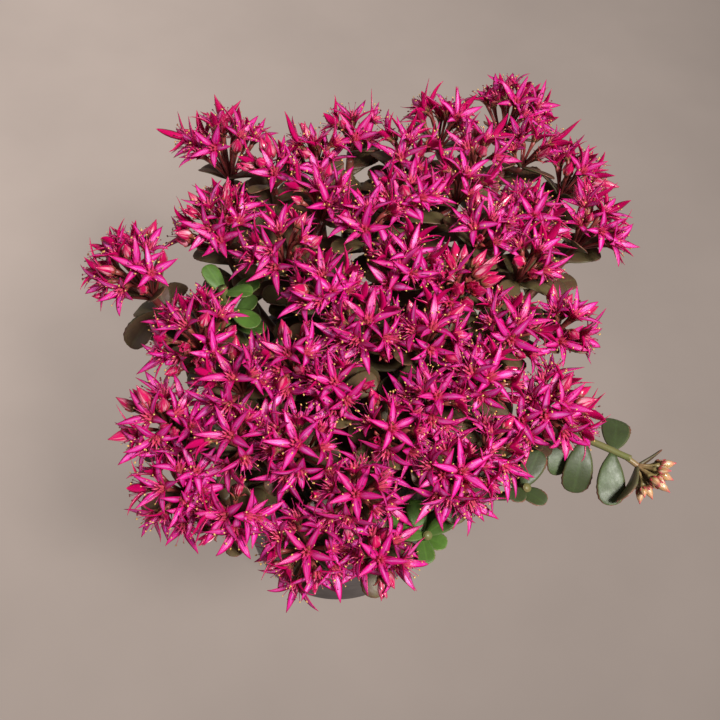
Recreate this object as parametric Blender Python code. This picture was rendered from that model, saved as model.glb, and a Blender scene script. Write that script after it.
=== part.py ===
"""Potted sedum: a plastic nursery pot, its soil, leafy stems and cymes of five-petalled flowers.

Lengths are in metres, +Z is up, and the pot stands on z = 0 with its axis on the Z axis.
"""

import math

import bmesh
import bpy
import numpy as np

MM = 0.001
CLEAR = 0.3 * MM
SEED = 41

# Pot
RIM_R = 52.5 * MM
BASE_R = 37.0 * MM
POT_H = 90.0 * MM
WALL = 1.4 * MM
FLOOR = 1.8 * MM
COLLAR_H = 11.0 * MM
COLLAR_STEP = 1.6 * MM
POT_SIDES = 40
SOIL_SIDES = 20
DRAIN_R = 3.5 * MM
DRAIN_RING_R = 25.0 * MM
DRAIN_HOLES = 6

# Soil
SOIL_Z = 79.0 * MM
SOIL_BUMP = 1.2 * MM
ROOTED = 22.0 * MM

# Flower: the reach and rise of its petal tips, and the ring that the petals leave
REACH = 9.4 * MM
RISE = 5.2 * MM
THROAT_R = 2.7 * MM
CARPEL_H = 2.8 * MM
BUD_L = 7.0 * MM
BUD_R = 1.7 * MM
PEDUNCLE_R = 1.5 * MM
PEDUNCLE = 4.0 * MM
# A cymule's shape, as shares of its radius: its ring of flowers, how far it domes, the depth that
# the flowers fan out from, their stalks, and the core under them
FLOWER_RING = 0.76
DOME = 0.42
FAN = 0.92
STALK = 0.5
CORE_TOP = 0.32
CORE_FOOT = 1.17
CORE_WIDE = 0.68
TIP_CLEAR = 0.35 * MM
BASE_INSIDE = 3.6 * MM

# How a petal may move out of another's way, as (reach, rise, swing), the least move first
PETAL_MOVES = sorted(
    (
        (length, lift, swing)
        for length in (1.0, 0.9, 0.8)
        for lift in (1.0, 1.3, 0.7, 1.6, 0.4, 1.9, 0.1)
        for swing in (0.0, 0.15, -0.15, 0.3, -0.3)
    ),
    key=lambda move: 1.5 * (1 - move[0]) + 0.5 * abs(move[1] - 1) + abs(move[2]),
)
# Shares of a petal's length, and half its width there
PETAL_SHARES = np.array([0.3, 0.45, 0.6, 0.75, 0.9, 1.0])
PETAL_HALF = np.array([1.5, 1.2, 0.9, 0.6, 0.3, 0.1]) * MM

# Stem
STEM_R = 1.8 * MM
TWIG_R = 1.4 * MM
STEM_SIDES = 5
TWIG_SIDES = 4
ROOT_SPREAD = 0.42
FORK_SPREAD = 0.52
FORK_Z = 98.0 * MM
LEAN_FROM = np.array([0.0, 0.0, 50.0]) * MM

# A head further to the right than this droops, and faces away from the point
DROOP_X = 90.0 * MM
DROOP_FROM = np.array([40.0, -5.0, 140.0]) * MM

# Leaf: its length, and its outline as (share of the length, half width as a share of the length)
LEAF_L = 15.0 * MM
LEAF_T = 1.5 * MM
LEAF_ROOT_W = 1.9 * MM
LEAF_SIDE = ((0.26, 0.1), (0.6, 0.32), (0.83, 0.25))
LEAF_CLEAR = 1.9 * MM

# Each cyme: its cymules as (x, y, z, radius, open flowers, buds), in millimetres
CYMES = {
    "cyme_01": [(-57, 64, 159, 16, 8, 2)],
    "cyme_02": [(-35, 42, 168, 9, 2, 5)],
    "cyme_03": [(-20, 50, 168, 9, 3, 3)],
    "cyme_04": [(-9, 63, 169, 9, 3, 2)],
    "cyme_05": [(11, 55, 169, 10, 3, 1)],
    "cyme_06": [(25, 82, 162, 11, 4, 0), (38, 63, 166, 10, 4, 1)],
    "cyme_07": [(52, 97, 161, 14, 7, 1), (57, 75, 160, 9, 3, 0)],
    "cyme_08": [(77, 77, 149, 12, 5, 2)],
    "cyme_09": [(82, 49, 151, 13, 6, 2)],
    "cyme_10": [(13, 31, 172, 11, 4, 1), (31, 41, 169, 9, 3, 1)],
    "cyme_11": [(39, 22, 169, 10, 3, 1), (56, 37, 163, 12, 5, 1)],
    "cyme_12": [(56, 16, 162, 11, 4, 1), (68, -3, 155, 10, 3, 2)],
    "cyme_13": [(49, -13, 160, 12, 5, 0)],
    "cyme_14": [(32, 0, 166, 10, 1, 12)],
    "cyme_15": [(14, 2, 170, 12, 5, 0), (0, 17, 172, 10, 3, 0)],
    "cyme_16": [(-27, 6, 169, 12, 5, 1), (-16, 25, 171, 9, 3, 1)],
    "cyme_17": [(-11, -9, 168, 12, 6, 0)],
    "cyme_18": [(3, -22, 165, 12, 6, 0)],
    "cyme_19": [(23, -21, 164, 12, 5, 1)],
    "cyme_20": [(41, -32, 157, 11, 5, 1)],
    "cyme_21": [(-79, 6, 151, 17, 8, 3)],
    "cyme_22": [(-51, 19, 164, 14, 5, 5)],
    "cyme_23": [(-52, -23, 154, 15, 6, 3)],
    "cyme_24": [(-35, -39, 153, 10, 3, 1), (-33, -56, 147, 10, 4, 0)],
    "cyme_25": [(-59, -48, 140, 13, 5, 5)],
    "cyme_26": [(-52, -67, 132, 13, 6, 1), (-32, -74, 133, 9, 3, 1)],
    "cyme_27": [(-19, -33, 159, 10, 3, 3), (-4, -40, 157, 10, 4, 0)],
    "cyme_28": [(-13, -58, 149, 12, 5, 0)],
    "cyme_29": [(5, -68, 142, 12, 6, 0)],
    "cyme_30": [(-8, -80, 126, 13, 7, 0)],
    "cyme_31": [(13, -50, 152, 11, 5, 0), (26, -40, 155, 9, 3, 0)],
    "cyme_32": [(14, -79, 125, 9, 3, 4)],
    "cyme_33": [(35, -58, 145, 13, 7, 0), (46, -48, 146, 8, 2, 1)],
    "cyme_34": [(66, -31, 146, 15, 8, 3)],
    "cyme_trailing": [(100, -39, 124, 6, 0, 12)],
}

# Each leafy stem and the cymes that its branches carry
STEMS = {
    "stem_01": ("cyme_01", "cyme_02"),
    "stem_02": ("cyme_03", "cyme_04"),
    "stem_03": ("cyme_05", "cyme_06"),
    "stem_04": ("cyme_07", "cyme_08"),
    "stem_05": ("cyme_09", "cyme_12"),
    "stem_06": ("cyme_10", "cyme_11"),
    "stem_07": ("cyme_13", "cyme_14"),
    "stem_08": ("cyme_15", "cyme_19"),
    "stem_09": ("cyme_16", "cyme_22"),
    "stem_10": ("cyme_17", "cyme_18"),
    "stem_11": ("cyme_21",),
    "stem_12": ("cyme_23",),
    "stem_13": ("cyme_24", "cyme_25"),
    "stem_14": ("cyme_26",),
    "stem_15": ("cyme_27", "cyme_28"),
    "stem_16": ("cyme_29", "cyme_30"),
    "stem_17": ("cyme_31", "cyme_32"),
    "stem_18": ("cyme_20", "cyme_33"),
    "stem_19": ("cyme_34",),
    "stem_trailing": ("cyme_trailing",),
}

# How much steeper downwards a drooping stem's leaves point
HANG = {"stem_trailing": 0.8}

# Shoots with no flowers: their leaves' length, then each one's top (x, y, z) and number of leaf
# pairs, in millimetres
SHOOT_LEAF_L = 11.5 * MM
SHOOTS = {
    "shoot_left": ((-43, -4, 152), 5),
    "shoot_front": ((28, -66, 121), 5),
    "shoot_right": ((57, -50, 128), 2),
}


def unit(vector):
    return np.asarray(vector, float) / np.linalg.norm(vector)


def square_to(axis):
    """Two unit vectors square to the axis and to each other."""
    side = unit(np.cross(axis, (0.0, 1.0, 0.0) if abs(axis[1]) < 0.9 else (1.0, 0.0, 0.0)))
    return side, np.cross(axis, side)


def lean_of(centre):
    """The way that a cyme at this place faces: outwards from a point low in the plant, or drooping."""
    if centre[0] > DROOP_X:
        return unit(centre - DROOP_FROM)
    return unit(unit(centre - LEAN_FROM) + np.array([0.0, 0.0, 0.25]))


def cymules_of(name):
    return [(np.array(row[:3], float) * MM, row[3] * MM, row[4], row[5]) for row in CYMES[name]]


def cell_of(centre, radius):
    """The planes between a cymule and all the others, as unit normals and distances."""
    normals, limits = [], []
    for rival, rival_radius, _, _ in [cymule for name in CYMES for cymule in cymules_of(name)]:
        gap = rival - centre
        apart = np.linalg.norm(gap)
        if apart > 0:
            normals.append(gap / apart)
            limits.append((apart**2 + radius**2 - rival_radius**2) / (2 * apart))
    return np.array(normals), np.array(limits)


def held_inside(point, centre, cell, margin):
    """The point, moved square to each plane of the cell that it is past."""
    normals, limits = cell
    for _ in range(12):
        past = normals @ (point - centre) - (limits - margin)
        worst = int(np.argmax(past))
        if past[worst] <= 0:
            break
        point = point - normals[worst] * past[worst]
    return point


def spot(index, count, ring_r, rng):
    """A place on the cymule's face: one flower in the middle and the rest round it."""
    if index == 0 and count > 2:
        return rng.uniform(0, 0.12) * ring_r, rng.uniform(0, 2 * math.pi)
    around = count - 1 if count > 2 else count
    turn = 2 * math.pi * index / around + rng.normal(0, 0.16)
    return ring_r * rng.uniform(0.86, 1.12), turn


def petal_tips(base, facing, reach, rise, first, cell, centre):
    """The tips of five petals spread round the axis, bent clear of the next cyme."""
    across, along = square_to(facing)
    tips = []
    for petal in range(5):
        angle = first + petal * 2 * math.pi / 5
        away = across * math.cos(angle) + along * math.sin(angle)
        tips.append(held_inside(base + away * reach + facing * rise, centre, cell, TIP_CLEAR))
    return np.array(tips)


def petal_samples(base, tips):
    """Points along each petal as (x, y, z, half width)."""
    points = base + PETAL_SHARES[:, None, None] * (tips - base)
    halves = np.broadcast_to(PETAL_HALF[:, None, None], points.shape[:2] + (1,))
    return np.concatenate([points, halves], axis=2).reshape(-1, 4)


def stalk_samples(flower):
    """Points down a flower's stalk as (x, y, z, radius)."""
    downs = np.array([0.5, 2.0, 3.5])[:, None] * MM
    points = flower["base"] - flower["facing"] * downs
    return np.concatenate([points, THROAT_R * (1 - downs / (6 * MM))], axis=1)


def least_gap(samples, near):
    """The least space from these samples to those already there."""
    apart = np.linalg.norm(samples[:, None, :3] - near[None, :, :3], axis=2)
    return (apart - samples[:, None, 3] - near[None, :, 3]).min(axis=1)


def parted_tips(flower, reach, rise, cell, centre, near):
    """The petal tips, each moved up, down or aside where its petal would cross another."""
    base, facing = flower["base"], flower["facing"]
    across, along = square_to(facing)
    tips = []
    for petal in range(5):
        best, best_gap = None, -1.0
        for length, lift, swing in PETAL_MOVES:
            angle = flower["first"] + petal * 2 * math.pi / 5 + swing
            away = across * math.cos(angle) + along * math.sin(angle)
            tip = base + away * reach * length + facing * rise * lift
            tip = held_inside(tip, centre, cell, TIP_CLEAR)
            gap = least_gap(petal_samples(base, tip[None]), near).min()
            if gap > best_gap + 0.05 * MM:
                best, best_gap = tip, gap
            if gap > 0.2 * MM:
                break
        tips.append(best)
    return np.array(tips)


def roomiest(choices, near):
    """The one of several ways to set a flower or bud that keeps furthest from those near it."""
    gaps = [least_gap(petal_samples(c["base"], c["tips"]), near).clip(None, 1 * MM).sum() for c in choices]
    return choices[int(np.argmax(gaps))]


def flowers_of(name):
    """Every flower and bud of a cyme: where it leaves its stalk, its axis and turn, and its tips."""
    found = []
    for row, cymule in enumerate(cymules_of(name)):
        rng = np.random.default_rng([SEED, list(CYMES).index(name), row])
        near = np.full((1, 4), 9.0)
        for index in range(cymule[2] + cymule[3]):
            if index < cymule[2]:
                flower = open_flower(cymule, index, near, rng)
            else:
                flower = bud(cymule, near, rng)
            found.append(flower)
            samples = petal_samples(flower["base"], flower["tips"])
            near = np.concatenate([near, samples, stalk_samples(flower)])
    return found


def seat(cymule, out, turn, margin):
    """A place on a cymule's domed face, held inside its cell, and the way it faces."""
    centre, radius = cymule[:2]
    axis = lean_of(centre)
    east, north = square_to(axis)
    base = centre + out * (east * math.cos(turn) + north * math.sin(turn))
    base = held_inside(base - axis * DOME * out * out / radius, centre, cell_of(centre, radius), margin)
    return base, unit(base - centre + axis * FAN * radius)


def open_flower(cymule, index, near, rng):
    """An open flower, turned and raised to where its petals have the most room."""
    centre, radius, count, _ = cymule
    cell = cell_of(centre, radius)
    base, facing = seat(cymule, *spot(index, count, radius * FLOWER_RING, rng), BASE_INSIDE)
    facing = unit(facing + rng.normal(0, 0.06, 3))
    spread = rng.uniform(0.80, 1.05)
    reach, rise = REACH * spread, RISE * (2.0 - spread)
    start = rng.uniform(0, 2 * math.pi)
    choices = []
    for step in range(36):
        first = start + (step % 12) * math.radians(6)
        raised = base + facing * (step // 12 - 1) * 1.6 * MM
        tips = petal_tips(raised, facing, reach, rise, first, cell, centre)
        choices.append({"base": raised, "facing": facing, "first": first, "tips": tips})
    flower = roomiest(choices, near)
    flower["tips"] = parted_tips(flower, reach, rise, cell, centre, near)
    flower["stalk"] = radius * STALK
    return flower


def bud(cymule, near, rng):
    """A bud, in the roomiest of several places among the flowers."""
    centre, radius = cymule[:2]
    length = min(BUD_L, 0.7 * radius) * rng.uniform(0.75, 1.25)
    choices = []
    for _ in range(16):
        out, turn = radius * rng.uniform(0.25, 0.92), rng.uniform(0, 2 * math.pi)
        base, facing = seat(cymule, out, turn, 2.4 * MM)
        tip = held_inside(base + facing * length, centre, cell_of(centre, radius), TIP_CLEAR)
        choices.append({"base": base, "facing": facing, "first": turn, "tips": np.array([tip])})
    chosen = roomiest(choices, near)
    chosen["stalk"] = radius * STALK
    return chosen


def ring(centre, axis, radius, sides, first=0.0, across=None):
    """Points evenly round a circle."""
    if across is None:
        across, _ = square_to(axis)
    along = np.cross(axis, across)
    turns = first + np.arange(sides) * 2 * math.pi / sides
    return centre + radius * (np.outer(np.cos(turns), across) + np.outer(np.sin(turns), along))


def star_mesh(flower):
    """Five ridged petals about a short point, on a stalk that narrows downwards."""
    base, facing = flower["base"], flower["facing"]
    throat = ring(base + facing * 0.5 * MM, facing, THROAT_R, 5, flower["first"] + math.pi / 5)
    points = [base + facing * CARPEL_H, base - facing * flower["stalk"], *flower["tips"], *throat]
    faces = []
    for j in range(5):
        tip, left, right = 2 + j, 7 + j, 7 + (j - 1) % 5
        faces += [(0, tip, left), (0, right, tip), (tip, right, left), (left, right, 1)]
    return points, faces


def bud_mesh(flower):
    """A pointed bud: widest low down, on a stalk that narrows downwards."""
    base, facing = flower["base"], flower["facing"]
    belly = ring(base + facing * 1.5 * MM, facing, BUD_R, 4, flower["first"])
    points = [flower["tips"][0], base - facing * flower["stalk"], *belly]
    faces = []
    for j in range(4):
        here, after = 2 + j, 2 + (j + 1) % 4
        faces += [(0, here, after), (1, after, here)]
    return points, faces


def tube_mesh(line, radii, sides):
    """A tube along a line of points, closed at both ends."""
    line = np.asarray(line)
    across, _ = square_to(unit(line[1] - line[0]))
    points = []
    for place, way, radius in zip(line, np.gradient(line, axis=0), radii):
        way = unit(way)
        across = unit(across - way * (across @ way))
        points.extend(ring(place, way, radius, sides, 0.0, across))
    faces = [tuple(range(sides))[::-1], tuple(len(points) - sides + k for k in range(sides))]
    for k in range(len(line) - 1):
        for j in range(sides):
            a, b = k * sides + j, k * sides + (j + 1) % sides
            faces.append((a, b, b + sides, a + sides))
    return points, faces


def core_mesh(centre, radius):
    """The umbel of stalks under a cymule's flowers: an inverted pyramid."""
    axis = lean_of(centre)
    edge = ring(centre - axis * CORE_TOP * radius, axis, radius * CORE_WIDE, 6)
    points = [centre - axis * CORE_FOOT * radius, *edge]
    faces = [(1, 2, 3, 4, 5, 6)]
    for j in range(6):
        faces.append((0, 1 + (j + 1) % 6, 1 + j))
    return points, faces


def leaf_points(root, way, up, length, droop):
    """The leaf's outline, from one side of its root round the tip to the other, and its middle."""
    side = np.cross(way, up)

    def at(share, half):
        return root + way * length * share + side * half * length - up * droop * length * share**2

    half_root = LEAF_ROOT_W / 2 / length
    left = [at(0.0, -half_root)] + [at(s, -w) for s, w in LEAF_SIDE]
    right = [at(s, w) for s, w in LEAF_SIDE[::-1]] + [at(0.0, half_root)]
    return left + [at(1.0, 0.0)] + right, at(0.52, 0.0)


def leaf_mesh(root, way, up, length, droop):
    """A fleshy leaf: thick in the middle, thin at its angled edge, with a stout root."""
    root = root + way * 0.4 * MM - up * LEAF_T * 0.4
    edge, middle = leaf_points(root, way, up, length, droop)
    n = len(edge)
    points = edge + [middle + up * LEAF_T, root + up * LEAF_T * 0.9]
    faces = [(n, j + 1, j) for j in range(n - 1)] + [(n, 0, n + 1), (n, n + 1, n - 1)]
    faces += [(j, j + 1, n - 2 - j, n - 1 - j) for j in range(n // 2 - 1)]
    faces += [(n // 2 - 1, n // 2, n // 2 + 1), (0, n - 1, n + 1)]
    return points, faces


def bezier(a, b, c, d, steps):
    t = np.linspace(0, 1, steps + 1)[:, None]
    return (1 - t) ** 3 * a + 3 * (1 - t) ** 2 * t * b + 3 * (1 - t) * t * t * c + t**3 * d


def cyme_root(name):
    """Where a cyme rests on its branch, and its axis there."""
    rows = cymules_of(name)
    centre = np.mean([row[0] for row in rows], axis=0)
    axis = lean_of(centre)
    return centre - axis * (CORE_FOOT * max(row[1] for row in rows) + PEDUNCLE), axis


def stem_lines(name):
    """A leafy stem and its side branches, each as a line of points."""
    tops = [cyme_root(cyme) for cyme in STEMS[name]]
    middle = np.mean([top for top, _ in tops], axis=0)
    base = np.array([middle[0] * ROOT_SPREAD, middle[1] * ROOT_SPREAD, SOIL_Z])
    fork = np.array([middle[0] * FORK_SPREAD, middle[1] * FORK_SPREAD, FORK_Z])
    sunk = base - np.array([0.0, 0.0, ROOTED])
    trunk = np.array([sunk, base + np.array([0.0, 0.0, 2 * MM])])
    lines = []
    for index, (top, axis) in enumerate(tops):
        start = fork - unit(fork - base) * index * 3 * MM
        reach = np.linalg.norm(top - start)
        leave = unit(unit(fork - base) + index * unit(top - start))
        droops = axis[2] < 0
        arrive = unit(axis + np.array([0.0, 0.0, 0.0 if droops else 0.5]))
        end = top - arrive * CLEAR * (2.5 if droops else 1)
        lines.append(bezier(start, start + leave * reach * 0.3, end - arrive * reach * 0.35, end, 3))
    lines[0] = np.concatenate([trunk, lines[0]])
    return lines


def build(name, pieces, material):
    """One object from closed pieces that overlap: a Boolean union, then only its outer skin."""
    objects = []
    for points, faces in pieces:
        mesh = bpy.data.meshes.new(name)
        mesh.from_pydata([tuple(p) for p in points], [], faces)
        objects.append(bpy.data.objects.new(name, mesh))
    first, rest = objects[0], objects[1:]
    bpy.context.scene.collection.objects.link(first)
    if rest:
        join_into(first, rest)
    first.name = name
    first.data.name = name
    keep_outer_skin(first.data)
    first.data.materials.append(material)
    return first


def join_into(first, rest, operation="UNION"):
    """Applies one Boolean of all the others to the first object, and removes them."""
    others = bpy.data.collections.new("others")
    bpy.context.scene.collection.children.link(others)
    for other in rest:
        others.objects.link(other)
    modifier = first.modifiers.new("join", "BOOLEAN")
    modifier.operation = operation
    modifier.operand_type = "COLLECTION"
    modifier.collection = others
    modifier.solver = "EXACT"
    graph = bpy.context.evaluated_depsgraph_get()
    joined = bpy.data.meshes.new_from_object(first.evaluated_get(graph))
    first.modifiers.clear()
    first.data = joined
    for other in rest:
        bpy.data.objects.remove(other)
    bpy.data.collections.remove(others)


def volume_of(faces):
    total = 0.0
    for face in faces:
        a = face.verts[0].co
        for b, c in zip(face.verts[1:-1], face.verts[2:]):
            total += a.dot(b.co.cross(c.co)) / 6
    return total


def keep_outer_skin(mesh):
    """Drops every shell but the largest: loose scraps and sealed hollows."""
    work = bmesh.new()
    work.from_mesh(mesh)
    bmesh.ops.triangulate(work, faces=work.faces)
    left = set(work.faces)
    shells = []
    while left:
        shell, queue = set(), [left.pop()]
        while queue:
            face = queue.pop()
            shell.add(face)
            for edge in face.edges:
                for near in edge.link_faces:
                    if near in left:
                        left.remove(near)
                        queue.append(near)
        shells.append(list(shell))
    shells.sort(key=lambda shell: -volume_of(shell))
    bmesh.ops.delete(work, geom=[f for shell in shells[1:] for f in shell], context="FACES")
    work.to_mesh(mesh)
    work.free()


def lathe_mesh(profile, sides):
    """A solid of revolution about Z. The profile starts and ends on the axis."""
    turns = np.arange(sides) * 2 * math.pi / sides
    points = [(0.0, 0.0, profile[0][1]), (0.0, 0.0, profile[-1][1])]
    for r, z in profile[1:-1]:
        points += [(r * math.cos(t), r * math.sin(t), z) for t in turns]
    faces = []
    rings = len(profile) - 2
    for j in range(sides):
        after = (j + 1) % sides
        faces.append((0, 2 + after, 2 + j))
        last = 2 + (rings - 1) * sides
        faces.append((1, last + j, last + after))
        for k in range(rings - 1):
            a, b = 2 + k * sides + j, 2 + k * sides + after
            faces.append((a, b, b + sides, a + sides))
    return points, faces


def wall_r(z):
    """The outer radius of the pot's tapered wall at a height."""
    return BASE_R + (RIM_R - COLLAR_STEP - BASE_R) * z / POT_H


def pot():
    """Tapered wall, stepped collar with a rounded lip, and a floor with drain holes."""
    step = POT_H - COLLAR_H
    profile = [
        (0.0, 0.0),
        (BASE_R - 1.5 * MM, 0.0),
        (wall_r(1.5 * MM), 1.5 * MM),
        (wall_r(step - 1.5 * MM), step - 1.5 * MM),
        (wall_r(step) + COLLAR_STEP - 0.4 * MM, step),
        (wall_r(step) + COLLAR_STEP, step + 0.8 * MM),
        (RIM_R - 0.1 * MM, POT_H - 0.9 * MM),
        (RIM_R - 0.7 * MM, POT_H),
        (RIM_R - COLLAR_STEP - WALL + 0.6 * MM, POT_H),
        (RIM_R - COLLAR_STEP - WALL, POT_H - 0.8 * MM),
        (wall_r(FLOOR) - WALL, FLOOR),
        (0.0, FLOOR),
    ]
    body = build("pot", [lathe_mesh(profile, POT_SIDES)], paint("pot_plastic", (0.075, 0.063, 0.066), 0.5))
    holes = []
    for k in range(DRAIN_HOLES):
        turn = 2 * math.pi * k / DRAIN_HOLES
        centre = np.array([math.cos(turn), math.sin(turn), 0.0]) * DRAIN_RING_R
        line = [centre - (0, 0, 3 * MM), centre + (0, 0, FLOOR + 3 * MM)]
        holes.append(loose_object(*tube_mesh(line, (DRAIN_R, DRAIN_R), 12)))
    join_into(body, holes, "DIFFERENCE")
    keep_outer_skin(body.data)
    body.name = "pot"
    return body


def loose_object(points, faces):
    mesh = bpy.data.meshes.new("cutter")
    mesh.from_pydata([tuple(p) for p in points], [], faces)
    return bpy.data.objects.new("cutter", mesh)


def soil_height(x, y):
    """The uneven top of the soil."""
    return SOIL_Z + SOIL_BUMP * (np.sin(x * 170) * np.cos(y * 210 + 1) + 0.5 * np.sin(x * 390 - y * 330))


def soil(stem_feet):
    """A plug just clear of the pot, with a plain hole for each stem."""
    def radius(z):
        return wall_r(z) - WALL - CLEAR

    low = FLOOR + CLEAR
    edge_z = SOIL_Z - 2 * SOIL_BUMP
    profile = [(0.0, low), (radius(low), low), (radius(edge_z), edge_z)]
    profile += [(radius(edge_z) * share, SOIL_Z) for share in (0.9, 0.6, 0.3)] + [(0.0, SOIL_Z)]
    points, faces = lathe_mesh(profile, SOIL_SIDES)
    points = [(x, y, float(soil_height(x, y)) if z > edge_z else z) for x, y, z in points]
    body = build("soil", [(points, faces)], paint("soil_mix", (0.045, 0.03, 0.022), 0.95))
    holes = []
    for foot, radius_of_stem in stem_feet:
        low_end = foot - np.array([0.0, 0.0, ROOTED + CLEAR])
        high_end = foot + np.array([0.0, 0.0, 6 * MM])
        hole_r = radius_of_stem + 2 * CLEAR
        holes.append(loose_object(*tube_mesh([low_end, high_end], (hole_r, hole_r), 6)))
    join_into(body, holes, "DIFFERENCE")
    keep_outer_skin(body.data)
    body.name = "soil"
    return body


def paint(name, colour, roughness):
    """A plain material."""
    material = bpy.data.materials.get(name) or bpy.data.materials.new(name)
    material.use_nodes = True
    shader = material.node_tree.nodes["Principled BSDF"]
    shader.inputs["Base Color"].default_value = (*colour, 1.0)
    shader.inputs["Roughness"].default_value = roughness
    return material


def cyme(name):
    """Flowers and buds on their cores, joined by stalks to one foot."""
    pieces = []
    foot, axis = cyme_root(name)
    start = foot
    if len(CYMES[name]) > 1:
        start = foot + axis * 1 * MM
        pieces.append(tube_mesh([foot, start + axis * 1 * MM], (PEDUNCLE_R, PEDUNCLE_R), TWIG_SIDES))
    for centre, radius, _, _ in cymules_of(name):
        inside = centre - lean_of(centre) * (CORE_FOOT * radius - 3 * MM)
        pieces.append(core_mesh(centre, radius))
        pieces.append(tube_mesh([start, inside], (PEDUNCLE_R, PEDUNCLE_R), TWIG_SIDES))
    for flower in flowers_of(name):
        pieces.append(star_mesh(flower) if len(flower["tips"]) == 5 else bud_mesh(flower))
    if name == "cyme_trailing":
        return build(name, pieces, paint("buds_pale", (0.62, 0.32, 0.25), 0.5))
    return build(name, pieces, paint("petals", (0.63, 0.02, 0.22), 0.45))


def cyme_samples(name):
    """Points spread through a cyme, with the thickness about each."""
    rows = []
    share = np.linspace(0, 1, 6)[:, None]
    for flower in flowers_of(name):
        for tip in flower["tips"]:
            rows.append(flower["base"] + share * (tip - flower["base"]))
    foot, _ = cyme_root(name)
    for centre, radius, _, _ in cymules_of(name):
        axis = lean_of(centre)
        top, point = centre - axis * CORE_TOP * radius, centre - axis * CORE_FOOT * radius
        for edge in ring(top, axis, radius * CORE_WIDE, 12):
            rows += [point + share * (edge - point), top + share * (edge - top)]
        rows.append(foot + share * (point - foot))
    return np.concatenate(rows)


def leaf_samples(edge, middle):
    """Points spread over a leaf."""
    edge = np.array(edge)
    rows = [edge, (edge + np.roll(edge, 1, axis=0)) / 2]
    for share in (0.25, 0.5, 0.75):
        rows.append(middle + share * (edge - middle))
    return np.concatenate(rows)


def is_clear(samples, taken, distance):
    for other in taken:
        apart = np.linalg.norm(samples[:, None] - other[None], axis=2)
        if apart.min() < distance:
            return False
    return True


def fitted_leaf(root, way, length, droop, taken, own):
    """The leaf nearest to the wanted one that keeps clear of everything else, or None."""
    for scale in (1.0, 0.85, 0.7):
        for lift in (0.0, 0.35, -0.35, 0.7):
            for swing in (0.0, 0.4, -0.4, 0.8, -0.8):
                turned = np.array([
                    way[0] * math.cos(swing) - way[1] * math.sin(swing),
                    way[0] * math.sin(swing) + way[1] * math.cos(swing),
                    way[2] + lift,
                ])
                turned = unit(turned)
                level = unit(np.cross(turned, (0.0, 0.0, 1.0)))
                up = np.cross(level, turned)
                edge, middle = leaf_points(root, turned, up, length * scale, droop)
                samples = leaf_samples(edge, middle)
                outer = samples[np.linalg.norm(samples - root, axis=1) > 4 * MM]
                if is_clear(samples, taken, LEAF_CLEAR) and is_clear(outer, own, 1 * MM):
                    return (root, turned, up, length * scale, droop), samples
    return None


def leaves_along(line, spread, taken, own, rng):
    """Leaves down a line from its top: a pair, then pairs or single ones, each turned square to the last.
    Those of a drooping stem hang on one side instead."""
    pairs, first, spacing, longest, full, hang = spread
    lengths = np.concatenate([[0.0], np.cumsum(np.linalg.norm(np.diff(line[::-1], axis=0), axis=1))])
    turn = -math.pi / 2 if hang else rng.uniform(0, math.pi)
    found = []
    for pair in range(pairs):
        down = first + spacing * pair
        if down > lengths[-1] - 3 * MM:
            break
        root = np.array([np.interp(down, lengths, line[::-1][:, k]) for k in range(3)])
        for side in (0.0, math.pi) if pair == 0 or full else (0.0,):
            angle = turn + side + rng.normal(0, 0.2)
            way = unit((math.cos(angle), math.sin(angle), rng.uniform(0.25, 0.75) - hang))
            length = longest * rng.uniform(0.8, 1.12)
            leaf = fitted_leaf(root, way, length, rng.uniform(0.0, 0.25), taken, own)
            if leaf:
                found.append(leaf)
                own.append(leaf[1])
        turn += 0.0 if hang else math.pi / 2
    return found


def shoot_line(top):
    """A shoot with no flowers, from below the soil to its top."""
    top = np.array(top, float) * MM
    base = np.array([top[0] * ROOT_SPREAD, top[1] * ROOT_SPREAD, SOIL_Z])
    sunk = base - np.array([0.0, 0.0, ROOTED])
    rise = (top[2] - base[2]) * 0.45
    curve = bezier(base, base + (0, 0, rise), top - (0, 0, rise), top, 4)
    return np.concatenate([[sunk], curve])


def plant_lines():
    """For every leafy stem and shoot, its lines of points: the rooted one first."""
    lines = {name: stem_lines(name) for name in STEMS}
    for name, (top, _) in SHOOTS.items():
        lines[name] = [shoot_line(top)]
    return lines


def main():
    for old in list(bpy.data.objects):
        bpy.data.objects.remove(old)
    lines = plant_lines()
    feet = [(lines[name][0][0] + np.array([0.0, 0.0, ROOTED]), STEM_R) for name in lines]
    pot()
    soil(feet)
    for name in CYMES:
        cyme(name)
    petals = [cyme_samples(name) for name in CYMES]
    placed = {name: [thickened(line) for line in lines[name]] for name in lines}
    bronze = paint("leaves_bronze", (0.075, 0.05, 0.022), 0.5)
    green = paint("leaves_green", (0.10, 0.17, 0.04), 0.5)
    for index, name in enumerate(lines):
        rng = np.random.default_rng([SEED, 900 + index])
        others = petals + [rows for other in placed if other != name for rows in placed[other]]
        leaves = leaves_of(name, lines[name], others, list(placed[name]), rng)
        placed[name] += [samples for _, samples in leaves]
        pieces = stem_pieces(lines[name]) + [leaf_mesh(*leaf) for leaf, _ in leaves]
        build(name, pieces, green if name in SHOOTS else bronze)


def leaves_of(name, lines, others, own, rng):
    """Every leaf of a stem or a shoot, clear of the others and of its own stem."""
    if name in SHOOTS:
        spread = (SHOOTS[name][1], 1 * MM, 4 * MM, SHOOT_LEAF_L, True, 0.0)
        return leaves_along(lines[0], spread, others, own, rng)
    leaves = []
    for index, line in enumerate(lines):
        spread = (2 if index else 4, 4 * MM, 10 * MM, LEAF_L, False, HANG.get(name, 0.0))
        leaves += leaves_along(line, spread, others, own, rng)
    return leaves


def stem_pieces(lines):
    """The rooted stem, narrowing upwards, and its side branches."""
    pieces = [tube_mesh(lines[0], np.linspace(STEM_R, TWIG_R, len(lines[0])), STEM_SIDES)]
    for line in lines[1:]:
        pieces.append(tube_mesh(line, [TWIG_R] * len(line), TWIG_SIDES))
    return pieces


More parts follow.
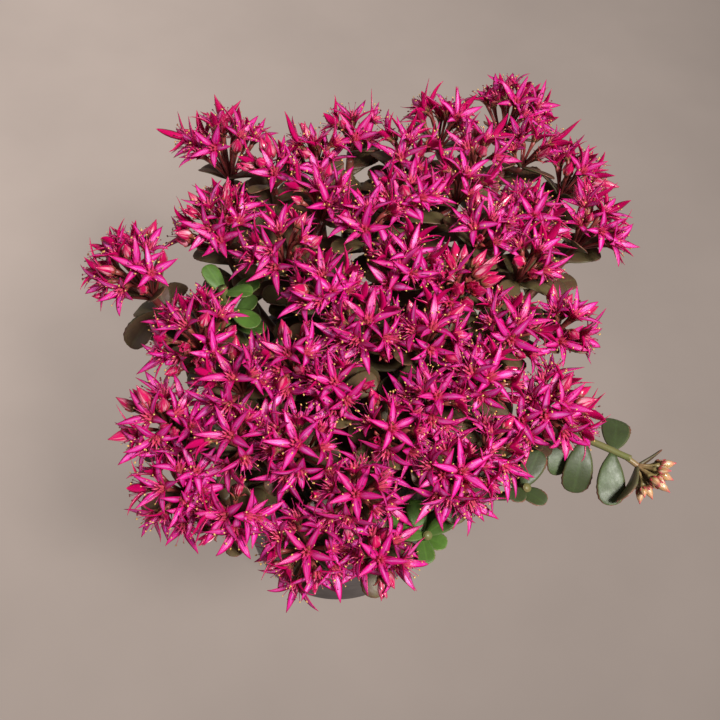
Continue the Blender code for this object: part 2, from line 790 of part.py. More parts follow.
def thickened(line):
    """Points every 2 mm or so along a line."""
    line = np.asarray(line)
    rows = [a + (b - a) * np.linspace(0, 1, 8)[:, None] for a, b in zip(line[:-1], line[1:])]
    return np.concatenate(rows)


main()
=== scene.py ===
"""Potted sedum: the flower heads, leaves, stems, soil and pot of the frame, with their finishes.

Lengths are in metres, +Z is up, and the pot stands on z = 0 with its axis on the Z axis. Every head,
stem and leaf of the frame stands in its place, because the same rule and the same seeds place it here.
The flowers of each head are then gathered a little, and more flowers and leaves stand among them.
"""

import math

import bpy
import numpy as np
from mathutils import Matrix, Vector


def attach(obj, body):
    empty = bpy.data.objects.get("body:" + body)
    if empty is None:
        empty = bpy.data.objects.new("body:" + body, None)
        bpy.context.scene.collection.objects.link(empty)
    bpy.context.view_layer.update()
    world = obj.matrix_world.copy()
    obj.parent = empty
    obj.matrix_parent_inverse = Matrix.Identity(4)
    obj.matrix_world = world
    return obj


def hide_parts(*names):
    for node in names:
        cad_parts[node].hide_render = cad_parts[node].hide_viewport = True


bl_info = {
    "name": "Potted Sedum",
    "version": (1, 0, 0),
    "blender": (4, 5, 0),
    "location": "View3D > Sidebar > Sedum",
    "description": "A flowering stonecrop in a plastic nursery pot",
    "category": "Add Mesh",
}

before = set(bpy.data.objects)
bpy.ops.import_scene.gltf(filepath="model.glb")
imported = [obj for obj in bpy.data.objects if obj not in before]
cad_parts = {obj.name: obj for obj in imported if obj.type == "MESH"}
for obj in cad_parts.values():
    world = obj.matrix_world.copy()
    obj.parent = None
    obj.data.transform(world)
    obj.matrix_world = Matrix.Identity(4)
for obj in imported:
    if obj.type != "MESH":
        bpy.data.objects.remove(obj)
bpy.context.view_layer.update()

MM = 0.001
TURN = 2 * math.pi
CLEAR = 0.3 * MM
SEED = 41

# Pot and soil
RIM_R = 52.5 * MM
BASE_R = 37.0 * MM
POT_H = 90.0 * MM
WALL = 1.4 * MM
FLOOR = 1.8 * MM
COLLAR_H = 11.0 * MM
COLLAR_STEP = 1.6 * MM
DRAIN_R = 3.5 * MM
DRAIN_RING_R = 25.0 * MM
DRAIN_HOLES = 6
SOIL_Z = 79.0 * MM
SOIL_BUMP = 1.2 * MM
ROOTED = 22.0 * MM

# Flower: the reach and rise of its petal tips, the ring that the petals leave, a bud's length, and
# the stalk under a whole cyme
PETAL_COUNT = 5
REACH = 9.4 * MM
RISE = 5.2 * MM
THROAT_R = 2.7 * MM
BUD_L = 7.0 * MM
PEDUNCLE = 4.0 * MM
# A cymule's shape, as shares of its radius: its ring of flowers, how far it domes, the depth that
# the flowers fan out from, and the core under them
FLOWER_RING = 0.76
DOME = 0.42
FAN = 0.92
CORE_TOP = 0.32
CORE_FOOT = 1.17
CORE_WIDE = 0.68
# How far petal tips, flowers and buds keep inside the planes between a cymule and its rivals
TIP_CLEAR = 0.35 * MM
BASE_INSIDE = 3.6 * MM
BUD_INSIDE = 2.4 * MM

# How a petal may move out of another's way, as (reach, rise, swing), the least move first
PETAL_MOVES = sorted(
    (
        (length, lift, swing)
        for length in (1.0, 0.9, 0.8)
        for lift in (1.0, 1.3, 0.7, 1.6, 0.4, 1.9, 0.1)
        for swing in (0.0, 0.15, -0.15, 0.3, -0.3)
    ),
    key=lambda move: 1.5 * (1 - move[0]) + 0.5 * abs(move[1] - 1) + abs(move[2]),
)
# Shares of a petal's length, and half its width there
PETAL_SHARES = np.array([0.3, 0.45, 0.6, 0.75, 0.9, 1.0])
PETAL_HALF = np.array([1.5, 1.2, 0.9, 0.6, 0.3, 0.1]) * MM

# Stem: its radius and its twigs', and how near the pot's axis it leaves the soil and forks, as shares of
# the distance from the axis to the heads that it carries
STEM_R = 1.8 * MM
TWIG_R = 1.4 * MM
ROOT_SPREAD = 0.42
FORK_SPREAD = 0.52
FORK_Z = 98.0 * MM
LEAN_FROM = np.array([0.0, 0.0, 50.0]) * MM

# A head further to the right than this droops, and faces away from the point. The stem under it keeps
# this many times the usual clearance.
DROOP_X = 90.0 * MM
DROOP_FROM = np.array([40.0, -5.0, 140.0]) * MM
DROOP_CLEAR = 2.5

# Leaf: its length, thickness and root, its outline as (share of the length, half width as a share of the
# length), and the space that it keeps
LEAF_L = 15.0 * MM
LEAF_T = 1.5 * MM
LEAF_ROOT_W = 1.9 * MM
LEAF_SIDE = ((0.26, 0.1), (0.6, 0.32), (0.83, 0.25))
LEAF_CLEAR = 1.9 * MM

# Each cyme: its cymules as (x, y, z, radius, open flowers, buds), in millimetres
CYMES = {
    "cyme_01": [(-57, 64, 159, 16, 8, 2)],
    "cyme_02": [(-35, 42, 168, 9, 2, 5)],
    "cyme_03": [(-20, 50, 168, 9, 3, 3)],
    "cyme_04": [(-9, 63, 169, 9, 3, 2)],
    "cyme_05": [(11, 55, 169, 10, 3, 1)],
    "cyme_06": [(25, 82, 162, 11, 4, 0), (38, 63, 166, 10, 4, 1)],
    "cyme_07": [(52, 97, 161, 14, 7, 1), (57, 75, 160, 9, 3, 0)],
    "cyme_08": [(77, 77, 149, 12, 5, 2)],
    "cyme_09": [(82, 49, 151, 13, 6, 2)],
    "cyme_10": [(13, 31, 172, 11, 4, 1), (31, 41, 169, 9, 3, 1)],
    "cyme_11": [(39, 22, 169, 10, 3, 1), (56, 37, 163, 12, 5, 1)],
    "cyme_12": [(56, 16, 162, 11, 4, 1), (68, -3, 155, 10, 3, 2)],
    "cyme_13": [(49, -13, 160, 12, 5, 0)],
    "cyme_14": [(32, 0, 166, 10, 1, 12)],
    "cyme_15": [(14, 2, 170, 12, 5, 0), (0, 17, 172, 10, 3, 0)],
    "cyme_16": [(-27, 6, 169, 12, 5, 1), (-16, 25, 171, 9, 3, 1)],
    "cyme_17": [(-11, -9, 168, 12, 6, 0)],
    "cyme_18": [(3, -22, 165, 12, 6, 0)],
    "cyme_19": [(23, -21, 164, 12, 5, 1)],
    "cyme_20": [(41, -32, 157, 11, 5, 1)],
    "cyme_21": [(-79, 6, 151, 17, 8, 3)],
    "cyme_22": [(-51, 19, 164, 14, 5, 5)],
    "cyme_23": [(-52, -23, 154, 15, 6, 3)],
    "cyme_24": [(-35, -39, 153, 10, 3, 1), (-33, -56, 147, 10, 4, 0)],
    "cyme_25": [(-59, -48, 140, 13, 5, 5)],
    "cyme_26": [(-52, -67, 132, 13, 6, 1), (-32, -74, 133, 9, 3, 1)],
    "cyme_27": [(-19, -33, 159, 10, 3, 3), (-4, -40, 157, 10, 4, 0)],
    "cyme_28": [(-13, -58, 149, 12, 5, 0)],
    "cyme_29": [(5, -68, 142, 12, 6, 0)],
    "cyme_30": [(-8, -80, 126, 13, 7, 0)],
    "cyme_31": [(13, -50, 152, 11, 5, 0), (26, -40, 155, 9, 3, 0)],
    "cyme_32": [(14, -79, 125, 9, 3, 4)],
    "cyme_33": [(35, -58, 145, 13, 7, 0), (46, -48, 146, 8, 2, 1)],
    "cyme_34": [(66, -31, 146, 15, 8, 3)],
    "cyme_trailing": [(100, -39, 124, 6, 0, 12)],
}

# The drooping stem at the right and its cluster of buds
TRAILING_CYME = "cyme_trailing"
TRAILING_STEM = "stem_trailing"
TRAILING_R = 0.95 * MM

# Each leafy stem and the cymes that its branches carry
STEMS = {
    "stem_01": ("cyme_01", "cyme_02"),
    "stem_02": ("cyme_03", "cyme_04"),
    "stem_03": ("cyme_05", "cyme_06"),
    "stem_04": ("cyme_07", "cyme_08"),
    "stem_05": ("cyme_09", "cyme_12"),
    "stem_06": ("cyme_10", "cyme_11"),
    "stem_07": ("cyme_13", "cyme_14"),
    "stem_08": ("cyme_15", "cyme_19"),
    "stem_09": ("cyme_16", "cyme_22"),
    "stem_10": ("cyme_17", "cyme_18"),
    "stem_11": ("cyme_21",),
    "stem_12": ("cyme_23",),
    "stem_13": ("cyme_24", "cyme_25"),
    "stem_14": ("cyme_26",),
    "stem_15": ("cyme_27", "cyme_28"),
    "stem_16": ("cyme_29", "cyme_30"),
    "stem_17": ("cyme_31", "cyme_32"),
    "stem_18": ("cyme_20", "cyme_33"),
    "stem_19": ("cyme_34",),
    "stem_trailing": ("cyme_trailing",),
}

# How much steeper downwards a drooping stem's leaves point
HANG = {TRAILING_STEM: 0.8}

# Shoots with no flowers: their leaves' length, then each one's top (x, y, z) and number of leaf
# pairs, in millimetres
SHOOT_LEAF_L = 11.5 * MM
SHOOTS = {
    "shoot_left": ((-43, -4, 152), 5),
    "shoot_front": ((28, -66, 121), 5),
    "shoot_right": ((57, -50, 128), 2),
}


# Layout of the plant


def unit(vector):
    """The vector shortened or drawn out to length one."""
    return np.asarray(vector, float) / np.linalg.norm(vector)


def square_to(axis):
    """Two unit vectors square to the axis and to each other."""
    side = unit(np.cross(axis, (0.0, 1.0, 0.0) if abs(axis[1]) < 0.9 else (1.0, 0.0, 0.0)))
    return side, np.cross(axis, side)


def spoke(pair, turn):
    """The vector at this turn from the first of two square vectors towards the second."""
    return pair[0] * math.cos(turn) + pair[1] * math.sin(turn)


def lean_of(centre):
    """The way that a cyme at this place faces: outwards from a point low in the plant, or drooping."""
    if centre[0] > DROOP_X:
        return unit(centre - DROOP_FROM)
    return unit(unit(centre - LEAN_FROM) + np.array([0.0, 0.0, 0.25]))


def cymules_of(name):
    """A cyme's cymules as (centre, radius, open flowers, buds), in metres."""
    return [(np.array(row[:3], float) * MM, row[3] * MM, row[4], row[5]) for row in CYMES[name]]


def cell_of(centre, radius):
    """The planes between a cymule and all the others, as unit normals and distances."""
    normals, limits = [], []
    for rival, rival_radius, _, _ in [cymule for name in CYMES for cymule in cymules_of(name)]:
        gap = rival - centre
        apart = np.linalg.norm(gap)
        if apart > 0:
            normals.append(gap / apart)
            limits.append((apart**2 + radius**2 - rival_radius**2) / (2 * apart))
    return np.array(normals), np.array(limits)


def held_inside(point, centre, cell, margin):
    """The point, moved square to each plane of the cell that it is past."""
    normals, limits = cell
    for _ in range(12):
        past = normals @ (point - centre) - (limits - margin)
        worst = int(np.argmax(past))
        if past[worst] <= 0:
            break
        point = point - normals[worst] * past[worst]
    return point


def spot(index, count, ring_r, rng):
    """A place on the cymule's face: one flower in the middle and the rest round it."""
    if index == 0 and count > 2:
        return rng.uniform(0, 0.12) * ring_r, rng.uniform(0, TURN)
    around = count - 1 if count > 2 else count
    turn = TURN * index / around + rng.normal(0, 0.16)
    return ring_r * rng.uniform(0.86, 1.12), turn


def petal_tips(base, facing, reach, rise, first, cell, centre):
    """The tips of five petals spread round the axis, bent clear of the next cyme."""
    pair = square_to(facing)
    tips = []
    for petal in range(PETAL_COUNT):
        away = spoke(pair, first + petal * TURN / PETAL_COUNT)
        tips.append(held_inside(base + away * reach + facing * rise, centre, cell, TIP_CLEAR))
    return np.array(tips)


def petal_samples(base, tips):
    """Points along each petal as (x, y, z, half width)."""
    points = base + PETAL_SHARES[:, None, None] * (tips - base)
    halves = np.broadcast_to(PETAL_HALF[:, None, None], points.shape[:2] + (1,))
    return np.concatenate([points, halves], axis=2).reshape(-1, 4)


def stalk_samples(flower):
    """Points down a flower's stalk as (x, y, z, radius)."""
    downs = np.array([0.5, 2.0, 3.5])[:, None] * MM
    points = flower["base"] - flower["facing"] * downs
    return np.concatenate([points, THROAT_R * (1 - downs / (6 * MM))], axis=1)


def least_gap(samples, near):
    """The least space from these samples to those already there."""
    apart = np.linalg.norm(samples[:, None, :3] - near[None, :, :3], axis=2)
    return (apart - samples[:, None, 3] - near[None, :, 3]).min(axis=1)


def parted_tips(flower, reach, rise, cell, centre, near):
    """The petal tips, each moved up, down or aside where its petal would cross another."""
    base, facing = flower["base"], flower["facing"]
    pair = square_to(facing)
    tips = []
    for petal in range(PETAL_COUNT):
        best, best_gap = None, -1.0
        for length, lift, swing in PETAL_MOVES:
            away = spoke(pair, flower["first"] + petal * TURN / PETAL_COUNT + swing)
            tip = base + away * reach * length + facing * rise * lift
            tip = held_inside(tip, centre, cell, TIP_CLEAR)
            gap = least_gap(petal_samples(base, tip[None]), near).min()
            if gap > best_gap + 0.05 * MM:
                best, best_gap = tip, gap
            if gap > 0.2 * MM:
                break
        tips.append(best)
    return np.array(tips)


def roomiest(choices, near):
    """The one of several ways to set a flower or bud that keeps furthest from those near it."""
    gaps = [least_gap(petal_samples(c["base"], c["tips"]), near).clip(None, 1 * MM).sum() for c in choices]
    return choices[int(np.argmax(gaps))]


def flowers_of(name):
    """Every flower and bud of a cyme: where it leaves its stalk, its axis and turn, and its tips."""
    found = []
    for row, cymule in enumerate(cymules_of(name)):
        rng = np.random.default_rng([SEED, list(CYMES).index(name), row])
        near = np.full((1, 4), 9.0)
        for index in range(cymule[2] + cymule[3]):
            if index < cymule[2]:
                flower = open_flower(cymule, index, near, rng)
            else:
                flower = bud(cymule, near, rng)
            found.append(flower)
            samples = petal_samples(flower["base"], flower["tips"])
            near = np.concatenate([near, samples, stalk_samples(flower)])
    return found


def seat(cymule, out, turn, margin):
    """A place on a cymule's domed face, held inside its cell, and the way it faces."""
    centre, radius = cymule[:2]
    axis = lean_of(centre)
    base = centre + out * spoke(square_to(axis), turn)
    base = held_inside(base - axis * DOME * out * out / radius, centre, cell_of(centre, radius), margin)
    return base, unit(base - centre + axis * FAN * radius)


def open_flower(cymule, index, near, rng):
    """An open flower, turned and raised to where its petals have the most room."""
    centre, radius, count, _ = cymule
    cell = cell_of(centre, radius)
    base, facing = seat(cymule, *spot(index, count, radius * FLOWER_RING, rng), BASE_INSIDE)
    facing = unit(facing + rng.normal(0, 0.06, 3))
    spread = rng.uniform(0.80, 1.05)
    reach, rise = REACH * spread, RISE * (2.0 - spread)
    start = rng.uniform(0, TURN)
    choices = []
    for step in range(36):
        first = start + (step % 12) * math.radians(6)
        raised = base + facing * (step // 12 - 1) * 1.6 * MM
        tips = petal_tips(raised, facing, reach, rise, first, cell, centre)
        choices.append({"base": raised, "facing": facing, "first": first, "tips": tips})
    flower = roomiest(choices, near)
    flower["tips"] = parted_tips(flower, reach, rise, cell, centre, near)
    return flower


def bud(cymule, near, rng):
    """A bud, in the roomiest of several places among the flowers."""
    centre, radius = cymule[:2]
    length = min(BUD_L, 0.7 * radius) * rng.uniform(0.75, 1.25)
    choices = []
    for _ in range(16):
        out, turn = radius * rng.uniform(0.25, 0.92), rng.uniform(0, TURN)
        base, facing = seat(cymule, out, turn, BUD_INSIDE)
        tip = held_inside(base + facing * length, centre, cell_of(centre, radius), TIP_CLEAR)
        choices.append({"base": base, "facing": facing, "first": turn, "tips": np.array([tip])})
    return roomiest(choices, near)


def ring(centre, axis, radius, sides):
    """Points evenly round a circle."""
    across, along = square_to(axis)
    turns = np.arange(sides) * TURN / sides
    return centre + radius * (np.outer(np.cos(turns), across) + np.outer(np.sin(turns), along))


def leaf_points(root, way, up, length, droop):
    """The leaf's outline, from one side of its root round the tip to the other, and its middle."""
    side = np.cross(way, up)

    def at(share, half):
        return root + way * length * share + side * half * length - up * droop * length * share**2

    half_root = LEAF_ROOT_W / 2 / length
    left = [at(0.0, -half_root)] + [at(s, -w) for s, w in LEAF_SIDE]
    right = [at(s, w) for s, w in LEAF_SIDE[::-1]] + [at(0.0, half_root)]
    return left + [at(1.0, 0.0)] + right, at(0.52, 0.0)


def curves(a, b, c, d, rows):
    """Bezier curves through arrays of four points each, as (curve, row, 3)."""
    t = np.linspace(0, 1, rows)[None, :, None]
    a, b, c, d = (np.asarray(x)[:, None] for x in (a, b, c, d))
    return (1 - t) ** 3 * a + 3 * (1 - t) ** 2 * t * b + 3 * (1 - t) * t * t * c + t**3 * d


def cyme_root(name):
    """Where a cyme rests on its branch, and its axis there."""
    rows = cymules_of(name)
    centre = np.mean([row[0] for row in rows], axis=0)
    axis = lean_of(centre)
    return centre - axis * (CORE_FOOT * max(row[1] for row in rows) + PEDUNCLE), axis


def low_points(place):
    """Where a stem whose top stands here leaves the soil, and where it ends below it."""
    base = np.array([place[0] * ROOT_SPREAD, place[1] * ROOT_SPREAD, SOIL_Z])
    return base, base - np.array([0.0, 0.0, ROOTED])


def stem_lines(name):
    """A leafy stem and its side branches, each as a line of points."""
    tops = [cyme_root(cyme) for cyme in STEMS[name]]
    middle = np.mean([top for top, _ in tops], axis=0)
    base, sunk = low_points(middle)
    fork = np.array([middle[0] * FORK_SPREAD, middle[1] * FORK_SPREAD, FORK_Z])
    trunk = np.array([sunk, base + np.array([0.0, 0.0, 2 * MM])])
    lines = []
    for index, (top, axis) in enumerate(tops):
        start = fork - unit(fork - base) * index * 3 * MM
        reach = np.linalg.norm(top - start)
        leave = unit(unit(fork - base) + index * unit(top - start))
        droops = axis[2] < 0
        arrive = unit(axis + np.array([0.0, 0.0, 0.0 if droops else 0.5]))
        end = top - arrive * CLEAR * (DROOP_CLEAR if droops else 1)
        bends = start + leave * reach * 0.3, end - arrive * reach * 0.35
        lines.append(curves([start], bends[:1], bends[1:], [end], 4)[0])
    lines[0] = np.concatenate([trunk, lines[0]])
    return lines


def cyme_samples(name):
    """Points spread through a cyme, with the thickness about each."""
    rows = []
    share = np.linspace(0, 1, 6)[:, None]
    for flower in flowers_of(name):
        for tip in flower["tips"]:
            rows.append(flower["base"] + share * (tip - flower["base"]))
    foot, _ = cyme_root(name)
    for centre, radius, _, _ in cymules_of(name):
        axis = lean_of(centre)
        top, point = centre - axis * CORE_TOP * radius, centre - axis * CORE_FOOT * radius
        for edge in ring(top, axis, radius * CORE_WIDE, 12):
            rows += [point + share * (edge - point), top + share * (edge - top)]
        rows.append(foot + share * (point - foot))
    return np.concatenate(rows)


def leaf_samples(edge, middle):
    """Points spread over a leaf."""
    edge = np.array(edge)
    rows = [edge, (edge + np.roll(edge, 1, axis=0)) / 2]
    for share in (0.25, 0.5, 0.75):
        rows.append(middle + share * (edge - middle))
    return np.concatenate(rows)


def is_clear(samples, taken, distance):
    """Whether no sample lies nearer than this distance to a point of any taken form."""
    for other in taken:
        apart = np.linalg.norm(samples[:, None] - other[None], axis=2)
        if apart.min() < distance:
            return False
    return True


def top_side(way):
    """The upper side of a leaf that points this way: square to it, and as near to up as can be."""
    return np.cross(unit(np.cross(way, (0.0, 0.0, 1.0))), way)


def fitted_leaf(root, way, length, droop, taken, own):
    """The leaf nearest to the wanted one that keeps clear of everything else, or None."""
    for scale in (1.0, 0.85, 0.7):
        for lift in (0.0, 0.35, -0.35, 0.7):
            for swing in (0.0, 0.4, -0.4, 0.8, -0.8):
                turned = np.array([
                    way[0] * math.cos(swing) - way[1] * math.sin(swing),
                    way[0] * math.sin(swing) + way[1] * math.cos(swing),
                    way[2] + lift,
                ])
                turned = unit(turned)
                up = top_side(turned)
                edge, middle = leaf_points(root, turned, up, length * scale, droop)
                samples = leaf_samples(edge, middle)
                outer = samples[np.linalg.norm(samples - root, axis=1) > 4 * MM]
                if is_clear(samples, taken, LEAF_CLEAR) and is_clear(outer, own, 1 * MM):
                    return (root, turned, up, length * scale, droop), samples
    return None


def distances(line):
    """How far along a line each of its points lies."""
    return np.concatenate([[0.0], np.cumsum(np.linalg.norm(np.diff(line, axis=0), axis=1))])


def point_at(line, lengths, distance):
    """The point this far along a line, whose points lie at these lengths."""
    return np.array([np.interp(distance, lengths, line[:, k]) for k in range(3)])


def leaves_along(line, spread, taken, own, rng):
    """Leaves down a line from its top: a pair, then pairs or single ones, each turned square to the last.
    Those of a drooping stem hang on one side instead."""
    pairs, first, spacing, longest, full, hang = spread
    line = line[::-1]
    lengths = distances(line)
    turn = -math.pi / 2 if hang else rng.uniform(0, math.pi)
    found = []
    for pair in range(pairs):
        down = first + spacing * pair
        if down > lengths[-1] - 3 * MM:
            break
        root = point_at(line, lengths, down)
        for side in (0.0, math.pi) if pair == 0 or full else (0.0,):
            angle = turn + side + rng.normal(0, 0.2)
            way = unit((math.cos(angle), math.sin(angle), rng.uniform(0.25, 0.75) - hang))
            length = longest * rng.uniform(0.8, 1.12)
            leaf = fitted_leaf(root, way, length, rng.uniform(0.0, 0.25), taken, own)
            if leaf:
                found.append(leaf)
                own.append(leaf[1])
        turn += 0.0 if hang else math.pi / 2
    return found


def shoot_line(top):
    """A shoot with no flowers, from below the soil to its top."""
    top = np.array(top, float) * MM
    base, sunk = low_points(top)
    rise = (top[2] - base[2]) * 0.45
    curve = curves([base], [base + (0, 0, rise)], [top - (0, 0, rise)], [top], 5)[0]
    return np.concatenate([[sunk], curve])


def plant_lines():
    """For every leafy stem and shoot, its lines of points: the rooted one first."""
    lines = {name: stem_lines(name) for name in STEMS}
    for name, (top, _) in SHOOTS.items():
        lines[name] = [shoot_line(top)]
    return lines


def thickened(line):
    """Points every 2 mm or so along a line."""
    line = np.asarray(line)
    rows = [a + (b - a) * np.linspace(0, 1, 8)[:, None] for a, b in zip(line[:-1], line[1:])]
    return np.concatenate(rows)


def leaves_of(name, lines, others, own, rng):
    """Every leaf of a stem or a shoot, clear of the others and of its own stem."""
    if name in SHOOTS:
        spread = (SHOOTS[name][1], 1 * MM, 4 * MM, SHOOT_LEAF_L, True, 0.0)
        return leaves_along(lines[0], spread, others, own, rng)
    leaves = []
    for index, line in enumerate(lines):
        spread = (2 if index else 4, 4 * MM, 10 * MM, LEAF_L, False, HANG.get(name, 0.0))
        leaves += leaves_along(line, spread, others, own, rng)
    return leaves


# Surfaces


def units(vectors):
    """Each vector of an array at length one."""
    return vectors / np.linalg.norm(vectors, axis=-1, keepdims=True)


def dots(a, b):
    """How long each vector is along its partner, with the last axis kept."""
    return (a * b).sum(axis=-1, keepdims=True)


class Surface:
    """The points, faces and marks of one piece, gathered part by part.

    The marks are what the finishes read: along (0 at the root, 1 at the tip), across (-1 to 1),
    upper (1 on the upper side) and vary (one number for each petal, leaf or stalk).
    """

    def __init__(self):
        self.points, self.marks, self.faces, self.paints = [], [], [], []
        self.count = 0

    def add(self, points, marks, faces, paint):
        """One more part: its points and marks, its triangles and quads, and the place of its finish."""
        self.points.append(points.reshape(-1, 3))
        self.marks.append(marks.reshape(-1, 4))
        for kind in faces:
            self.faces.append(kind + self.count)
            self.paints.append(np.full(len(kind), paint))
        self.count += points.reshape(-1, 3).shape[0]

    def to_object(self, name, materials):
        """One mesh object at the origin, smooth, with its marks as attributes."""
        points, marks = np.concatenate(self.points), np.concatenate(self.marks)
        sizes = np.concatenate([np.full(len(kind), kind.shape[1]) for kind in self.faces])
        corners = np.concatenate([kind.ravel() for kind in self.faces])
        mesh = bpy.data.meshes.new(name)
        mesh.vertices.add(len(points))
        mesh.loops.add(len(corners))
        mesh.polygons.add(len(sizes))
        mesh.vertices.foreach_set("co", points.astype(np.float32).ravel())
        mesh.loops.foreach_set("vertex_index", corners.astype(np.int32))
        starts = np.concatenate([[0], np.cumsum(sizes)[:-1]])
        mesh.polygons.foreach_set("loop_start", starts.astype(np.int32))
        for material in materials:
            mesh.materials.append(material)
        mesh.update(calc_edges=True)
        mesh.polygons.foreach_set("material_index", np.concatenate(self.paints).astype(np.int32))
        mesh.polygons.foreach_set("use_smooth", np.ones(len(sizes), bool))
        for column, mark in enumerate(("along", "across", "upper", "vary")):
            attribute = mesh.attributes.new(mark, "FLOAT", "POINT")
            attribute.data.foreach_set("value", marks[:, column].astype(np.float32))
        mesh.update()
        thing = bpy.data.objects.new(name, mesh)
        bpy.context.scene.collection.objects.link(thing)
        return thing


def skin(rows, sides):
    """The faces of a closed form of this many rings: quads between the rings and a fan at each end.

    The rings' points come first, then the middle of the first ring and that of the last.
    """
    here = np.arange(sides)
    after = (here + 1) % sides
    low = (np.arange(rows - 1) * sides)[:, None]
    quads = np.stack([low + here, low + after, low + sides + after, low + sides + here], axis=-1)
    last = (rows - 1) * sides
    foot = np.stack([np.full(sides, rows * sides), after, here], axis=-1)
    head = np.stack([np.full(sides, rows * sides + 1), last + here, last + after], axis=-1)
    return quads.reshape(-1, 4), np.concatenate([foot, head])


def for_each(values, shape):
    """Values for each curve, row and side. Those given for fewer are the same on every side."""
    values = np.asarray(values, float)
    return values if values.ndim == 3 else np.broadcast_to(values, shape)[..., None]


def swept(surface, line, across, up, half, thick, sides, vary, paint, cup=0.0):
    """Closed forms carried along lines, one for each row of line.

    A point is the line's point plus across times half * cos(turn), plus up times thick * sin(turn),
    raised by cup * half * cos(turn) squared. Each end is closed with a fan about its middle.
    """
    count, rows = line.shape[:2]
    turns = np.arange(sides) * TURN / sides
    half, thick, cup = (for_each(values, (count, rows)) for values in (half, thick, cup))
    aside = half * np.cos(turns)
    raised = thick * np.sin(turns) + cup * half * np.cos(turns) ** 2
    body = line[:, :, None] + across[:, :, None] * aside[..., None] + up[:, :, None] * raised[..., None]
    ends = np.stack([body[:, 0].mean(axis=1), body[:, -1].mean(axis=1)], axis=1)
    points = np.concatenate([body.reshape(count, -1, 3), ends], axis=1)

    marks = np.empty((count, rows * sides + 2, 4))
    marks[:, :-2, 0] = np.repeat(np.linspace(0, 1, rows), sides)
    marks[:, -2:, 0] = (0.0, 1.0)
    marks[:, :-2, 1] = np.tile(np.cos(turns), rows)
    marks[:, -2:, 1] = 0.0
    marks[:, :-2, 2] = np.tile((np.sin(turns) > 0.1).astype(float), rows)
    marks[:, -2:, 2] = 0.5
    marks[..., 3] = np.broadcast_to(np.asarray(vary, float), (count,))[:, None]

    quads, fans = skin(rows, sides)
    shift = (np.arange(count) * (rows * sides + 2))[:, None, None]
    surface.add(points, marks, [(quads + shift).reshape(-1, 4), (fans + shift).reshape(-1, 3)], paint)


def closed_rings(surface, rings, ends):
    """Rings of points joined in their order, with each end closed about a point."""
    points = np.concatenate([rings.reshape(-1, 3), ends])
    surface.add(points, np.zeros((len(points), 4)), skin(*rings.shape[:2]), 0)


def sides_of(lines):
    """Two unit vectors square to each line at each of its points, with no twist to speak of."""
    ways = units(np.gradient(lines, axis=1))
    whole = units(lines[:, -1] - lines[:, 0])
    helper = np.where(np.abs(whole[:, 1:2]) < 0.8, (0.0, 1.0, 0.0), (1.0, 0.0, 0.0))
    square = units(np.cross(whole, helper))[:, None]
    across = units(square - ways * dots(ways, square))
    return across, np.cross(ways, across)


def tubes(surface, lines, radii, sides, vary, paint):
    """Round stalks along lines."""
    across, up = sides_of(lines)
    swept(surface, lines, across, up, radii, radii, sides, vary, paint)


# Flowers

# The places of a head's finishes in its list
PETALS, CARPELS, STAMENS, ANTHERS, GREENS, STALKS, BRACTS, BUDS = range(8)

# A petal: how far out its foot stands, how its tip curls up (mean and spread), and the spreads of its
# bend to one side and of its twist, in radians
PETAL_FOOT = 0.6 * MM
PETAL_CURL = (0.35 * MM, 0.45 * MM)
PETAL_BEND = 0.16 * MM
PETAL_TWIST = 0.18
# Each kind of blade: the rows along it, its sides, and how far its edges curl up
PETAL_FORM = (8, 6, 0.5)
SEPAL_FORM = (4, 4, 0.5)
AJAR_FORM = (8, 8, 0.9)
# How plump a closed bud is along its length, and its five lobes' depth and winding
BUD_PROFILE = np.array([0.45, 0.8, 0.97, 1.0, 0.93, 0.76, 0.52, 0.27, 0.06])
BUD_LOBES = (0.075, 1.6)
BUD_SIDES = 15


def petal_blades(surface, base, facing, tips, width, thick, vary, paint, rng, rise=0.38, form=PETAL_FORM):
    """Narrow pointed blades that climb from the flower's middle and then spread to their tips.

    Each midline is a Bezier curve in the plane of the flower's axis and the tip. Its half width is
    (1 - s^2.1) * (0.5 + 0.62 * sin(quarter turn * s / 0.5)) of the full one, and its edges curl up.
    """
    out = tips - base
    rows, sides, cup = form
    climb = dots(out, facing)
    away = units(out - facing * climb)
    reach = dots(out, away)
    count = len(base)
    foot = base + away * PETAL_FOOT
    lift = facing * (np.maximum(climb, 1.5 * MM) * rise + 0.8 * MM)
    curl = facing * rng.normal(*PETAL_CURL, (count, 1))
    line = curves(foot, foot + lift + away * reach * 0.2, foot + (tips - foot) * 0.66 + curl * 2, tips, rows)
    share = np.linspace(0, 1, rows)
    side = np.cross(facing, away)
    bend = rng.normal(0, PETAL_BEND, (count, 1, 1)) * (share * share * (1 - share) * 4)[None, :, None]
    line = line + side[:, None] * bend
    ways = units(np.gradient(line, axis=1))
    up = -dots(ways, facing[:, None]) * away[:, None] + dots(ways, away[:, None]) * facing[:, None]
    up = units(up - ways * dots(up, ways))
    across = np.cross(up, ways)
    twist = (rng.normal(0, PETAL_TWIST, (count, 1)) * share)[..., None]
    across, up = across * np.cos(twist) + up * np.sin(twist), up * np.cos(twist) - across * np.sin(twist)
    full = width / 2 * rng.uniform(0.86, 1.14, (count, 1))
    shape = (1 - share**2.1) * (0.5 + 0.62 * np.sin(math.pi / 2 * np.minimum(share / 0.5, 1)))
    half = full * np.maximum(shape, 0.04)
    depth = thick / 2 * np.maximum(1 - share**4, 0.2)
    cups = cup * (1 - 0.55 * share) * rng.uniform(0.6, 1.3, (count, 1))
    swept(surface, line, across, up, half, depth, sides, vary, paint, cup=cups)


def parts(flowers, key):
    """The same part of every flower, as one array."""
    return np.array([flower[key] for flower in flowers])


